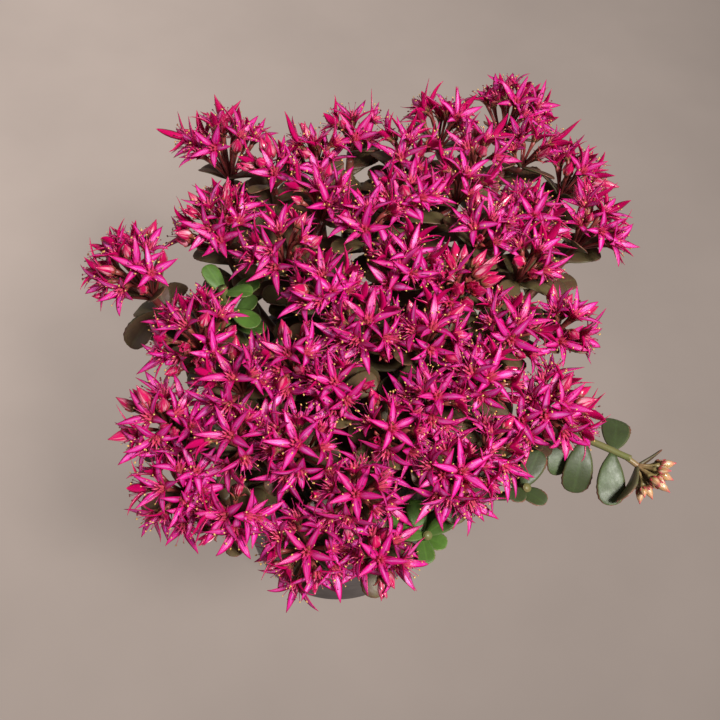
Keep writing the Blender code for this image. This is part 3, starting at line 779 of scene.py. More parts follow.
def wheel(flowers, count, offset=0.0):
    """Directions spread evenly round each flower's axis, with each flower's bases and axes repeated."""
    base, facing = parts(flowers, "base"), parts(flowers, "facing")
    across, along = (np.array(side)[:, None] for side in zip(*(square_to(axis) for axis in facing)))
    turns = (parts(flowers, "first")[:, None] + offset + np.arange(count) * TURN / count)[..., None]
    away = (across * np.cos(turns) + along * np.sin(turns)).reshape(-1, 3)
    return np.repeat(base, count, axis=0), np.repeat(facing, count, axis=0), away


def carpels(surface, flowers, vary, rng):
    """Five erect pods about the middle: wide low down, drawn out to a point that leans outwards."""
    base, facing, away = wheel(flowers, PETAL_COUNT, math.pi / PETAL_COUNT)
    tall = rng.uniform(4.2, 5.2, (len(base), 1)) * MM
    foot = base + away * 0.55 * MM - facing * 0.3 * MM
    tip = foot + facing * tall + away * rng.uniform(0.5, 1.1, (len(base), 1)) * MM
    line = curves(foot, foot + facing * tall * 0.4 + away * 0.3 * MM, foot + facing * tall * 0.75, tip, 4)
    across, up = sides_of(line)
    radii = np.array([0.5, 0.66, 0.38, 0.08]) * MM
    swept(surface, line, across, up, radii[None], radii[None], 4, np.repeat(vary, PETAL_COUNT), CARPELS)


def stamens(surface, flowers, vary, rng):
    """Ten thin filaments that spread between and before the petals, each with a plump anther."""
    each = 2 * PETAL_COUNT
    base, facing, away = wheel(flowers, each, math.pi / each)
    count = len(base)
    tall = rng.uniform(4.4, 6.0, (count, 1)) * MM
    spread = rng.uniform(1.6, 3.6, (count, 1)) * MM
    foot = base + away * 1.1 * MM
    tip = foot + facing * tall + away * spread
    low = foot + facing * tall * 0.5 + away * spread * 0.15
    high = tip - facing * tall * 0.3 - away * spread * 0.35
    own = np.repeat(vary, each) + rng.uniform(-0.2, 0.2, count)
    tubes(surface, curves(foot, low, high, tip, 3), np.array([0.18, 0.14, 0.09]) * MM, 3, own, STAMENS)
    lean = units(rng.normal(0, 1, (count, 3)) + away)
    size = rng.uniform(0.15, 0.32, (count, 1)) * MM
    grains = tip[:, None] + lean[:, None] * (size[..., None] * np.array([-1.3, 0.0, 1.3])[None, :, None])
    tubes(surface, grains, size * np.array([0.55, 1.1, 0.55]), 4, rng.uniform(0, 1, count), ANTHERS)


def sepals(surface, flowers, vary, rng):
    """Five short fleshy blades under the petals."""
    base, facing, away = wheel(flowers, PETAL_COUNT)
    wide = (len(base), 1)
    foot = base - facing * 1.0 * MM
    tips = foot + away * rng.uniform(2.2, 3.0, wide) * MM + facing * rng.uniform(2.4, 3.6, wide) * MM
    own = np.repeat(vary, PETAL_COUNT)
    petal_blades(surface, foot, facing, tips, 1.5 * MM, 0.6 * MM, own, GREENS, rng, 0.4, SEPAL_FORM)


def pedicels(surface, flowers, joints, rng):
    """A stalk from each flower's base back to the point that its cymule's stalks share."""
    base, facing = parts(flowers, "base"), parts(flowers, "facing")
    joints = np.array(joints)
    reach = np.linalg.norm(base - joints, axis=1)[:, None]
    start = base - facing * 0.2 * MM
    line = curves(start, start - facing * reach * 0.35, joints + (start - joints) * 0.3, joints, 6)
    radii = np.array([1.0, 0.7, 0.52, 0.52, 0.62, 0.8]) * MM
    tubes(surface, line, radii, 5, rng.uniform(0, 1, len(base)), STALKS)


def closed_buds(surface, buds, vary, rng):
    """Plump pointed buds with five green blades at the foot.

    The half width is that of BUD_PROFILE times 1 + depth * cos(5 * turn - winding * share), which gives
    five soft lobes that wind a little round the axis.
    """
    base, tip = parts(buds, "base"), parts(buds, "tips")[:, 0]
    share = np.linspace(0, 1, len(BUD_PROFILE))
    line = base[:, None] + (tip - base)[:, None] * share[None, :, None]
    across, up = sides_of(line)
    long = np.linalg.norm(tip - base, axis=1)[:, None]
    wide = np.minimum(long * 0.27, 1.75 * MM) * rng.uniform(0.86, 1.1, long.shape)
    turns = np.arange(BUD_SIDES) * TURN / BUD_SIDES
    depth, winding = BUD_LOBES
    lobes = 1 + depth * np.cos(PETAL_COUNT * turns[None, :] - winding * share[:, None])
    half = (wide * BUD_PROFILE)[..., None] * lobes[None]
    swept(surface, line, across, up, half, half, BUD_SIDES, vary, BUDS)
    foot = base - (tip - base) * 0.02
    axis = units(tip - base)
    for blade in range(PETAL_COUNT):
        away = spoke((across[:, 0], up[:, 0]), blade * TURN / PETAL_COUNT)
        end = foot + axis * long * 0.42 + away * wide * 1.08
        middle = foot + axis * long * 0.14 + away * wide * 1.12
        rib = curves(foot + away * wide * 0.3, middle, middle + axis * long * 0.1, end, 4)
        ways = units(np.gradient(rib, axis=1))
        side = np.broadcast_to(units(np.cross(axis, away))[:, None], ways.shape)
        size = wide[:, :1] * np.array([0.45, 0.56, 0.42, 0.05])
        swept(surface, rib, side, units(np.cross(ways, side)), size, 0.22 * MM, 6, vary, GREENS)


def opening_buds(surface, buds, vary, rng):
    """Buds about to open: five blades that bulge apart and meet again near the tip."""
    base, facing, away = wheel(buds, PETAL_COUNT)
    tip = np.repeat(parts(buds, "tips")[:, 0], PETAL_COUNT, axis=0)
    long = np.linalg.norm(tip - base, axis=1)[:, None]
    tips = base + facing * long * rng.uniform(1.0, 1.2, long.shape)
    tips = tips + away * rng.uniform(0.5, 1.6, long.shape) * MM
    own = np.repeat(vary, PETAL_COUNT)
    petal_blades(surface, base, facing, tips, 2.9 * MM, 0.5 * MM, own, BUDS, rng, 0.3, AJAR_FORM)
    sepals(surface, buds, vary, rng)


# Leaves

# The outline of a leaf: places along it, and half its width there, both as shares of its length. The
# second half has three shallow scallops.
LEAF_SHARES = np.array(
    [0, 0.1, 0.22, 0.34, 0.46, 0.55, 0.61, 0.66, 0.71, 0.765, 0.81, 0.865, 0.905, 0.95, 0.985, 1.0]
)
LEAF_HALVES = np.array(
    [0.065, 0.115, 0.185, 0.235, 0.268, 0.285, 0.286, 0.3]
    + [0.286, 0.294, 0.272, 0.264, 0.222, 0.182, 0.1, 0.012]
)
LEAF_SIDES = 10
# How far a leaf's middle groove goes into its thickness, and how wide it is
GROOVE = (0.75, 0.2)


def leaves(surface, rows, vary, paint, rng):
    """Fleshy leaves that widen from a narrow root to a round, scalloped end.

    The half width follows LEAF_HALVES along LEAF_SHARES, as shares of the length. The midline droops
    by droop * length * s^2, the edges curl up, and a groove runs down the middle of the upper side.
    """
    root, way, up, length, droop = (np.array([row[k] for row in rows]) for k in range(5))
    root = root + way * 0.4 * MM - up * LEAF_T * 0.4
    length, droop = length[:, None], droop[:, None]
    share = LEAF_SHARES[None]
    bend = droop * length * share**2 + rng.normal(0, 0.06, length.shape) * length * share**3
    line = root[:, None] + way[:, None] * (length * share)[..., None] - up[:, None] * bend[..., None]
    side = np.cross(up, way)
    line = line + side[:, None] * (rng.normal(0, 0.05, length.shape) * length * share**2)[..., None]
    line = line + up[:, None] * (LEAF_T * 0.5)
    ways = units(np.gradient(line, axis=1))
    across = units(side[:, None] - ways * dots(ways, side[:, None]))
    above = np.cross(ways, across)
    turns = np.arange(LEAF_SIDES) * TURN / LEAF_SIDES
    half = length * LEAF_HALVES[None] * rng.uniform(0.92, 1.08, length.shape)
    body = LEAF_T * 0.5 * np.interp(LEAF_SHARES, (0, 0.3, 0.9, 1), (1.0, 0.85, 0.6, 0.25))
    deep, wide = GROOVE
    groove = 1 - deep * np.exp(-((np.cos(turns) / wide) ** 2)) * (np.sin(turns) > 0)
    thick = body[None, :, None] * groove * np.ones((len(rows), 1, 1))
    cup = rng.uniform(0.02, 0.3, length.shape) * np.minimum(LEAF_SHARES / 0.5, 1)[None]
    swept(surface, line, across, above, half, thick, LEAF_SIDES, vary, paint, cup=cup)


# Finishes

# Colours are linear (red, green, blue), and stops are (place, red, green, blue) from root to tip
PETAL_THROAT = (0.8, 0.22, 0.2)
PETAL_FOOT_COLOUR = (0.72, 0.05, 0.22)
PETAL_DARK = (0.44, 0.002, 0.1)
# Where along a petal the pale streak shows, which is partly the petal's own colour and partly painted sheen
PAINTED_SHEEN_ALONG = ((0.12, 0, 0, 0), (0.4, 1, 1, 1), (0.68, 0.8, 0.8, 0.8), (0.92, 0, 0, 0))
PEAT_TONES = ((0.3, 0.012, 0.008, 0.006), (0.5, 0.05, 0.032, 0.022), (0.68, 0.14, 0.09, 0.06))

# Each kind of bud: its stops, its pale patches (painted highlights, partly its paler base), its dark streaks
# and the tint that some have
BUD_TONES = {
    "bud": (
        ((0.0, 0.3, 0.08, 0.04), (0.2, 0.55, 0.012, 0.08), (0.7, 0.62, 0.006, 0.13), (1.0, 0.5, 0.003, 0.09)),
        (0.93, 0.5, 0.6),
        (0.36, 0.002, 0.04),
        (0.45, 0.004, 0.06),
    ),
    "bud_pale": (
        ((0.0, 0.15, 0.15, 0.045), (0.35, 0.4, 0.27, 0.09), (0.68, 0.56, 0.3, 0.15), (1.0, 0.62, 0.03, 0.13)),
        (0.82, 0.62, 0.42),
        (0.22, 0.1, 0.04),
        (0.42, 0.2, 0.08),
    ),
}
# Each small part of a head: its stops, its roughness and, for anthers, the colour of the dark ones
PART_TONES = {
    "pod": (((0.0, 0.8, 0.4, 0.16), (0.3, 0.7, 0.12, 0.15), (1.0, 0.58, 0.015, 0.15)), 0.35),
    "filament": (((0.0, 0.7, 0.14, 0.2), (0.4, 0.58, 0.03, 0.18), (1.0, 0.56, 0.03, 0.2)), 0.4),
    "anther": (((0.0, 0.7, 0.4, 0.1), (1.0, 0.82, 0.58, 0.18)), 0.6, (0.14, 0.012, 0.02)),
    "sepal": (((0.0, 0.16, 0.17, 0.05), (0.5, 0.3, 0.08, 0.05), (1.0, 0.42, 0.02, 0.05)), 0.45),
    "stalk": (((0.0, 0.3, 0.06, 0.05), (0.6, 0.2, 0.03, 0.03), (1.0, 0.12, 0.03, 0.025)), 0.42),
    "stalk_pale": (((0.0, 0.24, 0.2, 0.07), (1.0, 0.26, 0.16, 0.08)), 0.42),
}
# The hanging leaves at the right (dark, light, margin and underside), the undersides of the others,
# the margin of the green ones, and each kind of stem (its colour and the other that it shades to)
DEEP_LEAF = ((0.04, 0.05, 0.02), (0.065, 0.1, 0.035), (0.26, 0.06, 0.05), (0.12, 0.13, 0.06))
BRONZE_UNDERSIDE = (0.10, 0.09, 0.045)
GREEN_UNDERSIDE = (0.16, 0.24, 0.08)
GREEN_MARGIN = (0.16, 0.16, 0.04)
RED_STEM = ((0.16, 0.035, 0.03), (0.10, 0.05, 0.025))
GREEN_STEM = ((0.2, 0.14, 0.06), (0.14, 0.16, 0.05))


class Finish:
    """A material with the nodes that colour and roughen it. Every method that makes a node returns the
    socket that it ends in."""

    def __init__(self, name):
        self.material = bpy.data.materials.new(name)
        self.material.use_nodes = True
        self.shader = self.material.node_tree.nodes["Principled BSDF"]

    def feed(self, name, source):
        """Links a socket to one of the shader's inputs."""
        self.link(source, self.shader.inputs[name])

    def make(self, kind, **values):
        """A new node with these values set on it."""
        node = self.material.node_tree.nodes.new(kind)
        for key, value in values.items():
            setattr(node, key, value)
        return node

    def link(self, source, target):
        """Links two sockets."""
        self.material.node_tree.links.new(source, target)

    def mark(self, name):
        """One of the marks that the surface carries: along, across, upper or vary."""
        return self.make("ShaderNodeAttribute", attribute_name=name).outputs["Fac"]

    def ramp(self, source, stops):
        """A colour for each value of the source. The stops are (value, red, green, blue)."""
        node = self.make("ShaderNodeValToRGB")
        while len(node.color_ramp.elements) < len(stops):
            node.color_ramp.elements.new(0.5)
        for element, (place, *colour) in zip(node.color_ramp.elements, stops):
            element.position = place
            element.color = (*colour, 1.0)
        self.link(source, node.inputs["Fac"])
        return node.outputs["Color"]

    def set_input(self, target, value):
        """A socket's value: another socket, a colour or a number."""
        if isinstance(value, bpy.types.NodeSocket):
            self.link(value, target)
        elif isinstance(value, tuple):
            target.default_value = (*value, 1.0)
        else:
            target.default_value = value

    def mixed(self, factor, first, second, kind="MIX"):
        """Two colours mixed. The factor and the colours are sockets or values."""
        node = self.make("ShaderNodeMix", data_type="RGBA", blend_type=kind)
        for place, value in ((0, factor), (6, first), (7, second)):
            self.set_input(node.inputs[place], value)
        return node.outputs[2]

    def sums(self, operation, first, second):
        """One operation on two sockets or numbers."""
        node = self.make("ShaderNodeMath", operation=operation)
        for place, value in enumerate((first, second)):
            self.set_input(node.inputs[place], value)
        return node.outputs[0]

    def ranged(self, source, low, high, to_low=0.0, to_high=1.0):
        """The source stretched from one range to another, and held inside it."""
        node = self.make("ShaderNodeMapRange")
        self.link(source, node.inputs["Value"])
        for name, value in (("From Min", low), ("From Max", high), ("To Min", to_low), ("To Max", to_high)):
            node.inputs[name].default_value = value
        return node.outputs["Result"]

    def noise(self, scale, detail=2.0, vector=None):
        """Noise of this scale at each point of the object, or over the vector."""
        node = self.make("ShaderNodeTexNoise")
        node.inputs["Scale"].default_value = scale
        node.inputs["Detail"].default_value = detail
        if vector is None:
            vector = self.make("ShaderNodeTexCoord").outputs["Object"]
        self.link(vector, node.inputs["Vector"])
        return node.outputs["Fac"]

    def streaks(self, lengthwise, crosswise):
        """Noise drawn out along each petal or leaf, different on each."""
        joined = self.make("ShaderNodeCombineXYZ")
        for place, (name, scale) in enumerate((("along", lengthwise), ("across", crosswise), ("vary", 71.0))):
            self.link(self.sums("MULTIPLY", self.mark(name), scale), joined.inputs[place])
        return self.noise(1.0, 3.0, joined.outputs[0])

    def bump(self, height, distance, strength=0.5):
        """Fine relief from a height."""
        node = self.make("ShaderNodeBump")
        node.inputs["Distance"].default_value = distance
        node.inputs["Strength"].default_value = strength
        self.link(height, node.inputs["Height"])
        self.link(node.outputs["Normal"], self.shader.inputs["Normal"])

    def soften(self, weight, radius, scale):
        """Lets light sink in: its share, and the scale with how much of it each colour goes."""
        self.shader.inputs["Subsurface Weight"].default_value = weight
        self.shader.inputs["Subsurface Radius"].default_value = radius
        self.shader.inputs["Subsurface Scale"].default_value = scale

    def polish(self, roughness, specular=None):
        """How rough the surface is and, where it is given, how strongly it shines."""
        self.shader.inputs["Roughness"].default_value = roughness
        if specular is not None:
            self.shader.inputs["Specular IOR Level"].default_value = specular

    def position(self, axis):
        """One coordinate of each point on the object: 0 for x, 1 for y and 2 for z."""
        node = self.make("ShaderNodeSeparateXYZ")
        self.link(self.make("ShaderNodeTexCoord").outputs["Object"], node.inputs[0])
        return node.outputs[axis]

    def cloudy(self, scale, detail, colour, shade):
        """A colour that clouds over to a darker shade of itself."""
        clouds = self.ranged(self.noise(scale, detail), 0.3, 0.7)
        return self.mixed(clouds, tuple(part * shade for part in colour), colour)


def petal_finish(settings):
    """Satin petals: a pale streak up the middle, partly their own colour and partly painted sheen, deeper
    edges, a deeper back and redder tips.
    """
    look = Finish("petal")
    upper, below, pale = (
        tuple(getattr(settings, key)) for key in ("petal_colour", "petal_underside", "petal_streak_and_sheen")
    )
    stops = ((0.0, *PETAL_THROAT), (0.12, *PETAL_FOOT_COLOUR), (0.32, *upper), (0.8, *upper), (1.0, *below))
    shade = look.ramp(look.mark("along"), stops)
    aside = look.sums("ABSOLUTE", look.mark("across"), 0.0)
    # The pale streak up the middle: partly the petal's own colour, partly painted sheen where light falls
    middle = look.ranged(aside, 0.62, 0.08)
    along = look.ramp(look.mark("along"), PAINTED_SHEEN_ALONG)
    streak = look.sums("MULTIPLY", middle, look.ranged(look.streaks(1.4, 2.6), 0.37, 0.58))
    glow = look.sums("MULTIPLY", streak, along)
    top = look.mixed(glow, shade, pale)
    edged = look.mixed(look.ranged(aside, 0.55, 1.0, 0.0, 0.9), top, below)
    sided = look.mixed(look.mark("upper"), below, edged)
    veins = look.ranged(look.streaks(1.5, 9.0), 0.4, 0.7, 0.0, 0.5)
    veined = look.mixed(veins, sided, below)
    own = look.ranged(look.mark("vary"), 0.25, 1.0, 0.0, 0.6)
    varied = look.mixed(own, veined, PETAL_DARK)
    look.feed("Base Color", varied)
    look.polish(0.31, 0.34)
    look.soften(0.15, (1.0, 0.08, 0.3), 0.8 * MM)
    look.bump(look.streaks(1.0, 10.0), 0.14 * MM)
    return look.material


def bud_finish(name, stops, pale, dark, red):
    """Glossy buds: each petal's back is pale in patches along its middle, painted highlights that are partly
    its paler base, and deep at its edges.
    """
    look = Finish(name)
    shade = look.ramp(look.mark("along"), stops)
    # Pale patches towards the foot: painted highlights, partly the bud's paler base
    low = look.ranged(look.mark("along"), 0.85, 0.35, 0.15, 1.0)
    pale_and_highlight_patch = look.sums("MULTIPLY", look.ranged(look.streaks(1.2, 2.4), 0.5, 0.6), low)
    lit = look.mixed(pale_and_highlight_patch, shade, pale)
    deep = look.mixed(look.ranged(look.streaks(0.8, 6.0), 0.5, 0.72, 0.0, 0.7), lit, dark)
    varied = look.mixed(look.ranged(look.mark("vary"), 0.0, 1.0, 0.0, 0.4), deep, red)
    look.feed("Base Color", varied)
    look.polish(0.22)
    look.soften(0.1, (1.0, 0.2, 0.3), 0.8 * MM)
    look.bump(look.streaks(1.0, 6.0), 0.15 * MM)
    return look.material


def graded_finish(name, stops, roughness, second=None):
    """A colour that changes from root to tip, with half of the parts in a second colour if there is one."""
    look = Finish(name)
    colour = look.ramp(look.mark("along"), stops)
    if second:
        colour = look.mixed(look.ranged(look.mark("vary"), 0.5, 0.58), colour, second)
    spots = look.ranged(look.noise(900.0), 0.35, 0.7, 0.0, 0.3)
    mottled = look.mixed(spots, colour, (0.4, 0.1, 0.2), "MULTIPLY")
    look.feed("Base Color", mottled)
    look.polish(roughness)
    look.bump(look.noise(1500.0), 0.08 * MM, 0.3)
    return look.material


def leaf_finish(name, dark, light, margin, underside):
    """Fleshy leaves: mottled between two colours, with a thin red margin, a pale midrib and a dull back."""
    look = Finish(name)
    body = look.mixed(look.mark("vary"), dark, light)
    patches = look.mixed(look.ranged(look.noise(160.0, 4.0), 0.38, 0.66, 0.0, 0.6), body, dark)
    aside = look.sums("ABSOLUTE", look.mark("across"), 0.0)
    rib = look.ranged(aside, 0.14, 0.03, 0.0, 0.45)
    ribbed = look.mixed(rib, patches, light)
    sided = look.mixed(look.mark("upper"), underside, ribbed)
    outer = look.ranged(look.mark("along"), 0.3, 0.6)
    edge = look.sums("MULTIPLY", look.ranged(aside, 0.86, 0.99), outer)
    tip = look.ranged(look.mark("along"), 0.93, 1.0)
    edged = look.mixed(look.sums("MAXIMUM", edge, tip), sided, margin)
    look.feed("Base Color", edged)
    look.shader.inputs["Specular IOR Level"].default_value = 0.4
    rough = look.ranged(look.noise(420.0), 0.3, 0.7, 0.4, 0.54)
    look.feed("Roughness", rough)
    look.soften(0.08, (0.6, 1.0, 0.2), 1.0 * MM)
    look.bump(look.noise(1100.0, 3.0), 0.15 * MM, 0.35)
    return look.material


def stem_finish(name, colour, other):
    """Smooth stalks, darker and lighter along their length, with small raised dots."""
    look = Finish(name)
    tinted = look.mixed(look.ranged(look.noise(70.0, 3.0), 0.35, 0.65), colour, other)
    dots_here = look.ranged(look.noise(1400.0), 0.6, 0.75, 0.0, 0.5)
    spotted = look.mixed(dots_here, tinted, (0.35, 0.12, 0.1))
    look.feed("Base Color", spotted)
    look.polish(0.42)
    look.bump(look.noise(1400.0), 0.12 * MM)
    return look.material


def pot_finish(settings):
    """Moulded plastic: a faint grain, scuffs on the wall, and soil marks near the rim."""
    look = Finish("pot_plastic_fine")
    scuffs = look.ranged(look.noise(55.0, 6.0), 0.5, 0.72, 0.0, 0.5)
    scuffed = look.mixed(scuffs, tuple(settings.colour), tuple(settings.scuff_colour))
    high = look.ranged(look.position(2), POT_H - 20 * MM, POT_H)
    splash = look.sums("MULTIPLY", high, look.ranged(look.noise(260.0, 5.0), 0.55, 0.68))
    dirty = look.mixed(splash, scuffed, (0.12, 0.09, 0.07))
    look.feed("Base Color", dirty)
    rough = look.ranged(look.noise(90.0, 5.0), 0.3, 0.7, 0.36, 0.58)
    look.feed("Roughness", rough)
    look.bump(look.noise(2200.0, 2.0), 0.06 * MM, 0.4)
    return look.material


def soil_finish():
    """Dark peat with lighter fibres and crumbs."""
    look = Finish("peat")
    crumbs = look.ramp(look.noise(420.0, 6.0), PEAT_TONES)
    look.feed("Base Color", crumbs)
    look.polish(0.95)
    look.bump(look.noise(700.0, 6.0), 1.2 * MM, 0.9)
    return look.material


def plain_finish(name, colour, roughness, grain):
    """One colour with darker clouds of this scale."""
    look = Finish(name)
    look.feed("Base Color", look.cloudy(grain, 4.0, colour, 0.86))
    look.polish(roughness)
    return look.material


# Settings


def length_setting(name, description, millimetres):
    """A length for the panel, given in millimetres."""
    return bpy.props.FloatProperty(
        name=name,
        description=description,
        default=millimetres * MM,
        min=0.0,
        subtype="DISTANCE",
        unit="LENGTH",
    )


def colour_setting(name, description, colour):
    """A colour for the panel."""
    return bpy.props.FloatVectorProperty(
        name=name, description=description, default=colour, size=3, min=0.0, max=1.0, subtype="COLOR"
    )


def count_setting(name, description, count):
    """A whole number for the panel."""
    return bpy.props.IntProperty(name=name, description=description, default=count, min=0)


class SEDUM_PG_flowers(bpy.types.PropertyGroup):
    petal_width: length_setting("Petal width", "Width of a petal at its widest", 2.8)
    petal_thickness: length_setting("Petal thickness", "Thickness of a petal along its middle", 0.5)
    petal_colour: colour_setting("Petal", "The petals' upper side", (0.66, 0.005, 0.32))
    petal_underside: colour_setting("Petal underside", "Lower side, edges and tips", (0.52, 0.002, 0.1))
    # The pale streak's colour: partly the petal's own, partly painted sheen
    petal_streak_and_sheen: colour_setting("Petal sheen", "The pale streak up a petal", (0.9, 0.3, 0.76))
    fillers: count_setting("Side flowers", "Further flowers and buds in a cymule of 10 mm radius", 5)
    seed: count_setting("Seed", "Draws each petal's own shape", 7)


class SEDUM_PG_leaves(bpy.types.PropertyGroup):
    bronze: colour_setting("Bronze", "The dark leaves' upper side", (0.085, 0.038, 0.022))
    olive: colour_setting("Olive", "The dark leaves' greener parts", (0.12, 0.105, 0.042))
    green: colour_setting("Green", "The leaves of the shoots with no flowers", (0.10, 0.21, 0.035))
    margin: colour_setting("Margin", "The leaves' thin edge", (0.22, 0.06, 0.045))
    understory: count_setting("Further pairs", "Further pairs of leaves down each stem", 5)
    seed: count_setting("Seed", "Draws each leaf's own shape", 11)


class SEDUM_PG_pot(bpy.types.PropertyGroup):
    colour: colour_setting("Plastic", "The pot's plastic", (0.078, 0.066, 0.07))
    scuff_colour: colour_setting("Scuffs", "The plastic where it is scuffed", (0.13, 0.115, 0.125))


class SEDUM_PG_soil(bpy.types.PropertyGroup):
    grains: count_setting("Grains", "Loose crumbs on the soil", 260)
    seed: count_setting("Seed", "Places the crumbs", 3)


class SEDUM_PG_stage(bpy.types.PropertyGroup):
    floor_colour: colour_setting("Floor", "The floor under the pot", (0.44, 0.36, 0.315))
    floor_glow: bpy.props.FloatProperty(
        name="Floor glow", description="How much light the floor itself gives", default=0.86
    )
    key_watts: bpy.props.FloatProperty(
        name="Key light", description="The main light's power", default=20.0, unit="POWER"
    )
    fill_watts: bpy.props.FloatProperty(
        name="Fill light", description="The fill light's power", default=3.5, unit="POWER"
    )
    focal_length: bpy.props.FloatProperty(
        name="Focal length", description="Camera lens", default=50.0, min=1.0, unit="CAMERA"
    )


SETTINGS = {
    "sedum_flowers": SEDUM_PG_flowers,
    "sedum_leaves": SEDUM_PG_leaves,
    "sedum_pot": SEDUM_PG_pot,
    "sedum_soil": SEDUM_PG_soil,
    "sedum_stage": SEDUM_PG_stage,
}


# Pieces

# How a head's flowers are gathered: the share of the way to the axis, the tip outwards in radians at the
# rim, and the lift
GATHER = 0.24
TIP_OUT = 0.26
LIFT = np.array([0.0, 0.0, 2.5]) * MM
# Further flowers: the space between their bases, the draws for each cymule and the share that are buds
FILLER_APART = 4.6 * MM
FILLER_DRAWS = 80
SIDE_BUDS = 0.27
# Further buds at the trailing end, each turned by the golden angle from the last
TRAILING_BUDS = 5
GOLDEN_TURN = math.pi * (3 - math.sqrt(5))
# The share of a head's buds that are closed, where it is not the trailing one
SHUT_SHARE = 0.7
# A head's branches, and how far a stem reaches into its head
BRANCH_R = 1.25 * MM
STEM_INTO = 2.0 * MM


def finish_piece(thing, node):
    """The piece rides with the plant, and stands for its node."""
    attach(thing, "root")
    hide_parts(node)


def gathered(flower, centre, radius):
    """The flower a little nearer to its cymule's axis and tipped a little more outwards.

    It moves by GATHER of its distance from the axis. Its tips turn about its base by TIP_OUT times that
    distance over the radius, about the line square to the axis and to the way out.
    """
    axis = lean_of(centre)
    out = flower["base"] - centre
    out = out - axis * (out @ axis)
    far = np.linalg.norm(out)
    away = out / max(far, 0.1 * MM)
    angle = TIP_OUT * min(far / radius, 1.0)
    hinge = np.cross(axis, away)

    def turned(rows):
        aside = np.outer(rows @ hinge, hinge) * (1 - math.cos(angle))
        return rows * math.cos(angle) + np.cross(hinge, rows) * math.sin(angle) + aside

    base = flower["base"] - out * GATHER + LIFT
    tips = base + turned(np.atleast_2d(flower["tips"]) - flower["base"]) + LIFT * 0.3
    return {**flower, "base": base, "facing": turned(flower["facing"][None])[0], "tips": tips}


def bloom_of(name):
    """A cyme's flowers and buds as flowers_of lays them out, gathered cymule by cymule."""
    found = flowers_of(name)
    if name == TRAILING_CYME:
        return found
    rows = [row[:2] for row in cymules_of(name) for _ in range(row[2] + row[3])]
    return [gathered(flower, *row) for flower, row in zip(found, rows)]


def joint_of(centre, radius):
    """Where the stalks of a cymule's flowers meet."""
    return centre - lean_of(centre) * CORE_FOOT * radius


def joints_of(name):
    """Where each cymule's stalks meet, once for each of its flowers and buds."""
    return [joint_of(*row[:2]) for row in cymules_of(name) for _ in range(row[2] + row[3])]


def side_bud(base, facing, length):
    """A bud with its base here, its axis this way and its one tip at this length."""
    return {"base": base, "facing": facing, "first": 0.0, "tips": (base + facing * length)[None]}


def side_flowers(name, most, bases, rng):
    """More flowers over each cymule's dome and low on its sides, kept apart from every base so far."""
    found, joints = [], []
    for centre, radius, _, _ in cymules_of(name):
        axis = lean_of(centre)
        pair = square_to(axis)
        added = 0
        wanted = round(most * (radius / (10 * MM)) ** 2)
        for _ in range(FILLER_DRAWS):
            out, turn = radius * math.sqrt(rng.uniform(0.02, 0.62)), rng.uniform(0, TURN)
            away = spoke(pair, turn)
            low = DOME * out * out / radius + rng.uniform(0.0, 6.0) * MM
            base = centre + away * out - axis * low + LIFT
            if added == wanted or np.linalg.norm(np.array(bases) - base, axis=1).min() < FILLER_APART:
                continue
            facing = unit(away * out + axis * radius * 0.75)
            if rng.uniform() < SIDE_BUDS:
                found.append(side_bud(base, facing, BUD_L * rng.uniform(0.65, 1.0)))
            else:
                found.append(side_flower(base, facing, rng))
            joints.append(joint_of(centre, radius))
            bases.append(base)
            added += 1
    return found, joints


def further_buds(name, rng):
    """More small buds among a bud cluster's own, each turned by the golden angle from the last."""
    found, joints = [], []
    for centre, radius, _, _ in cymules_of(name):
        axis = lean_of(centre)
        for k in range(TRAILING_BUDS):
            away = spoke(square_to(axis), 0.9 + k * GOLDEN_TURN)
            base = centre + away * rng.uniform(2.2, 4.4) * MM - axis * rng.uniform(-1.0, 2.5) * MM
            facing = unit(axis + away * rng.uniform(0.1, 0.6))
            found.append(side_bud(base, facing, BUD_L * rng.uniform(0.6, 0.9)))
            joints.append(joint_of(centre, radius))
    return found, joints


def side_flower(base, facing, rng):
    """One flower with five petals evenly round it, each a little longer or lower than the next."""
    across, along = square_to(facing)
    first = rng.uniform(0, TURN)
    turns = first + np.arange(PETAL_COUNT) * TURN / PETAL_COUNT + rng.normal(0, 0.08, PETAL_COUNT)
    away = across * np.cos(turns)[:, None] + along * np.sin(turns)[:, None]
    each = (PETAL_COUNT, 1)
    reach, rise = REACH * rng.uniform(0.8, 1.0, each), RISE * rng.uniform(0.6, 1.5, each)
    return {"base": base, "facing": facing, "first": first, "tips": base + away * reach + facing * rise}


def bract_rows(name, rng):
    """A few small leaves round the foot of each cymule, pointing out from under its flowers."""
    rows = []
    for centre, radius, _, _ in cymules_of(name):
        axis = lean_of(centre)
        start = rng.uniform(0, TURN)
        for k in range(3 if radius > 9.5 * MM else 2):
            away = spoke(square_to(axis), start + k * 2.3 + rng.normal(0, 0.3))
            root = centre - axis * radius * CORE_FOOT * 0.98
            way = unit(away + axis * rng.uniform(0.25, 0.8))
            up = unit(np.cross(np.cross(way, axis), way))
            rows.append((root, way, up, rng.uniform(11, 15) * MM, rng.uniform(0, 0.3)))
    return rows


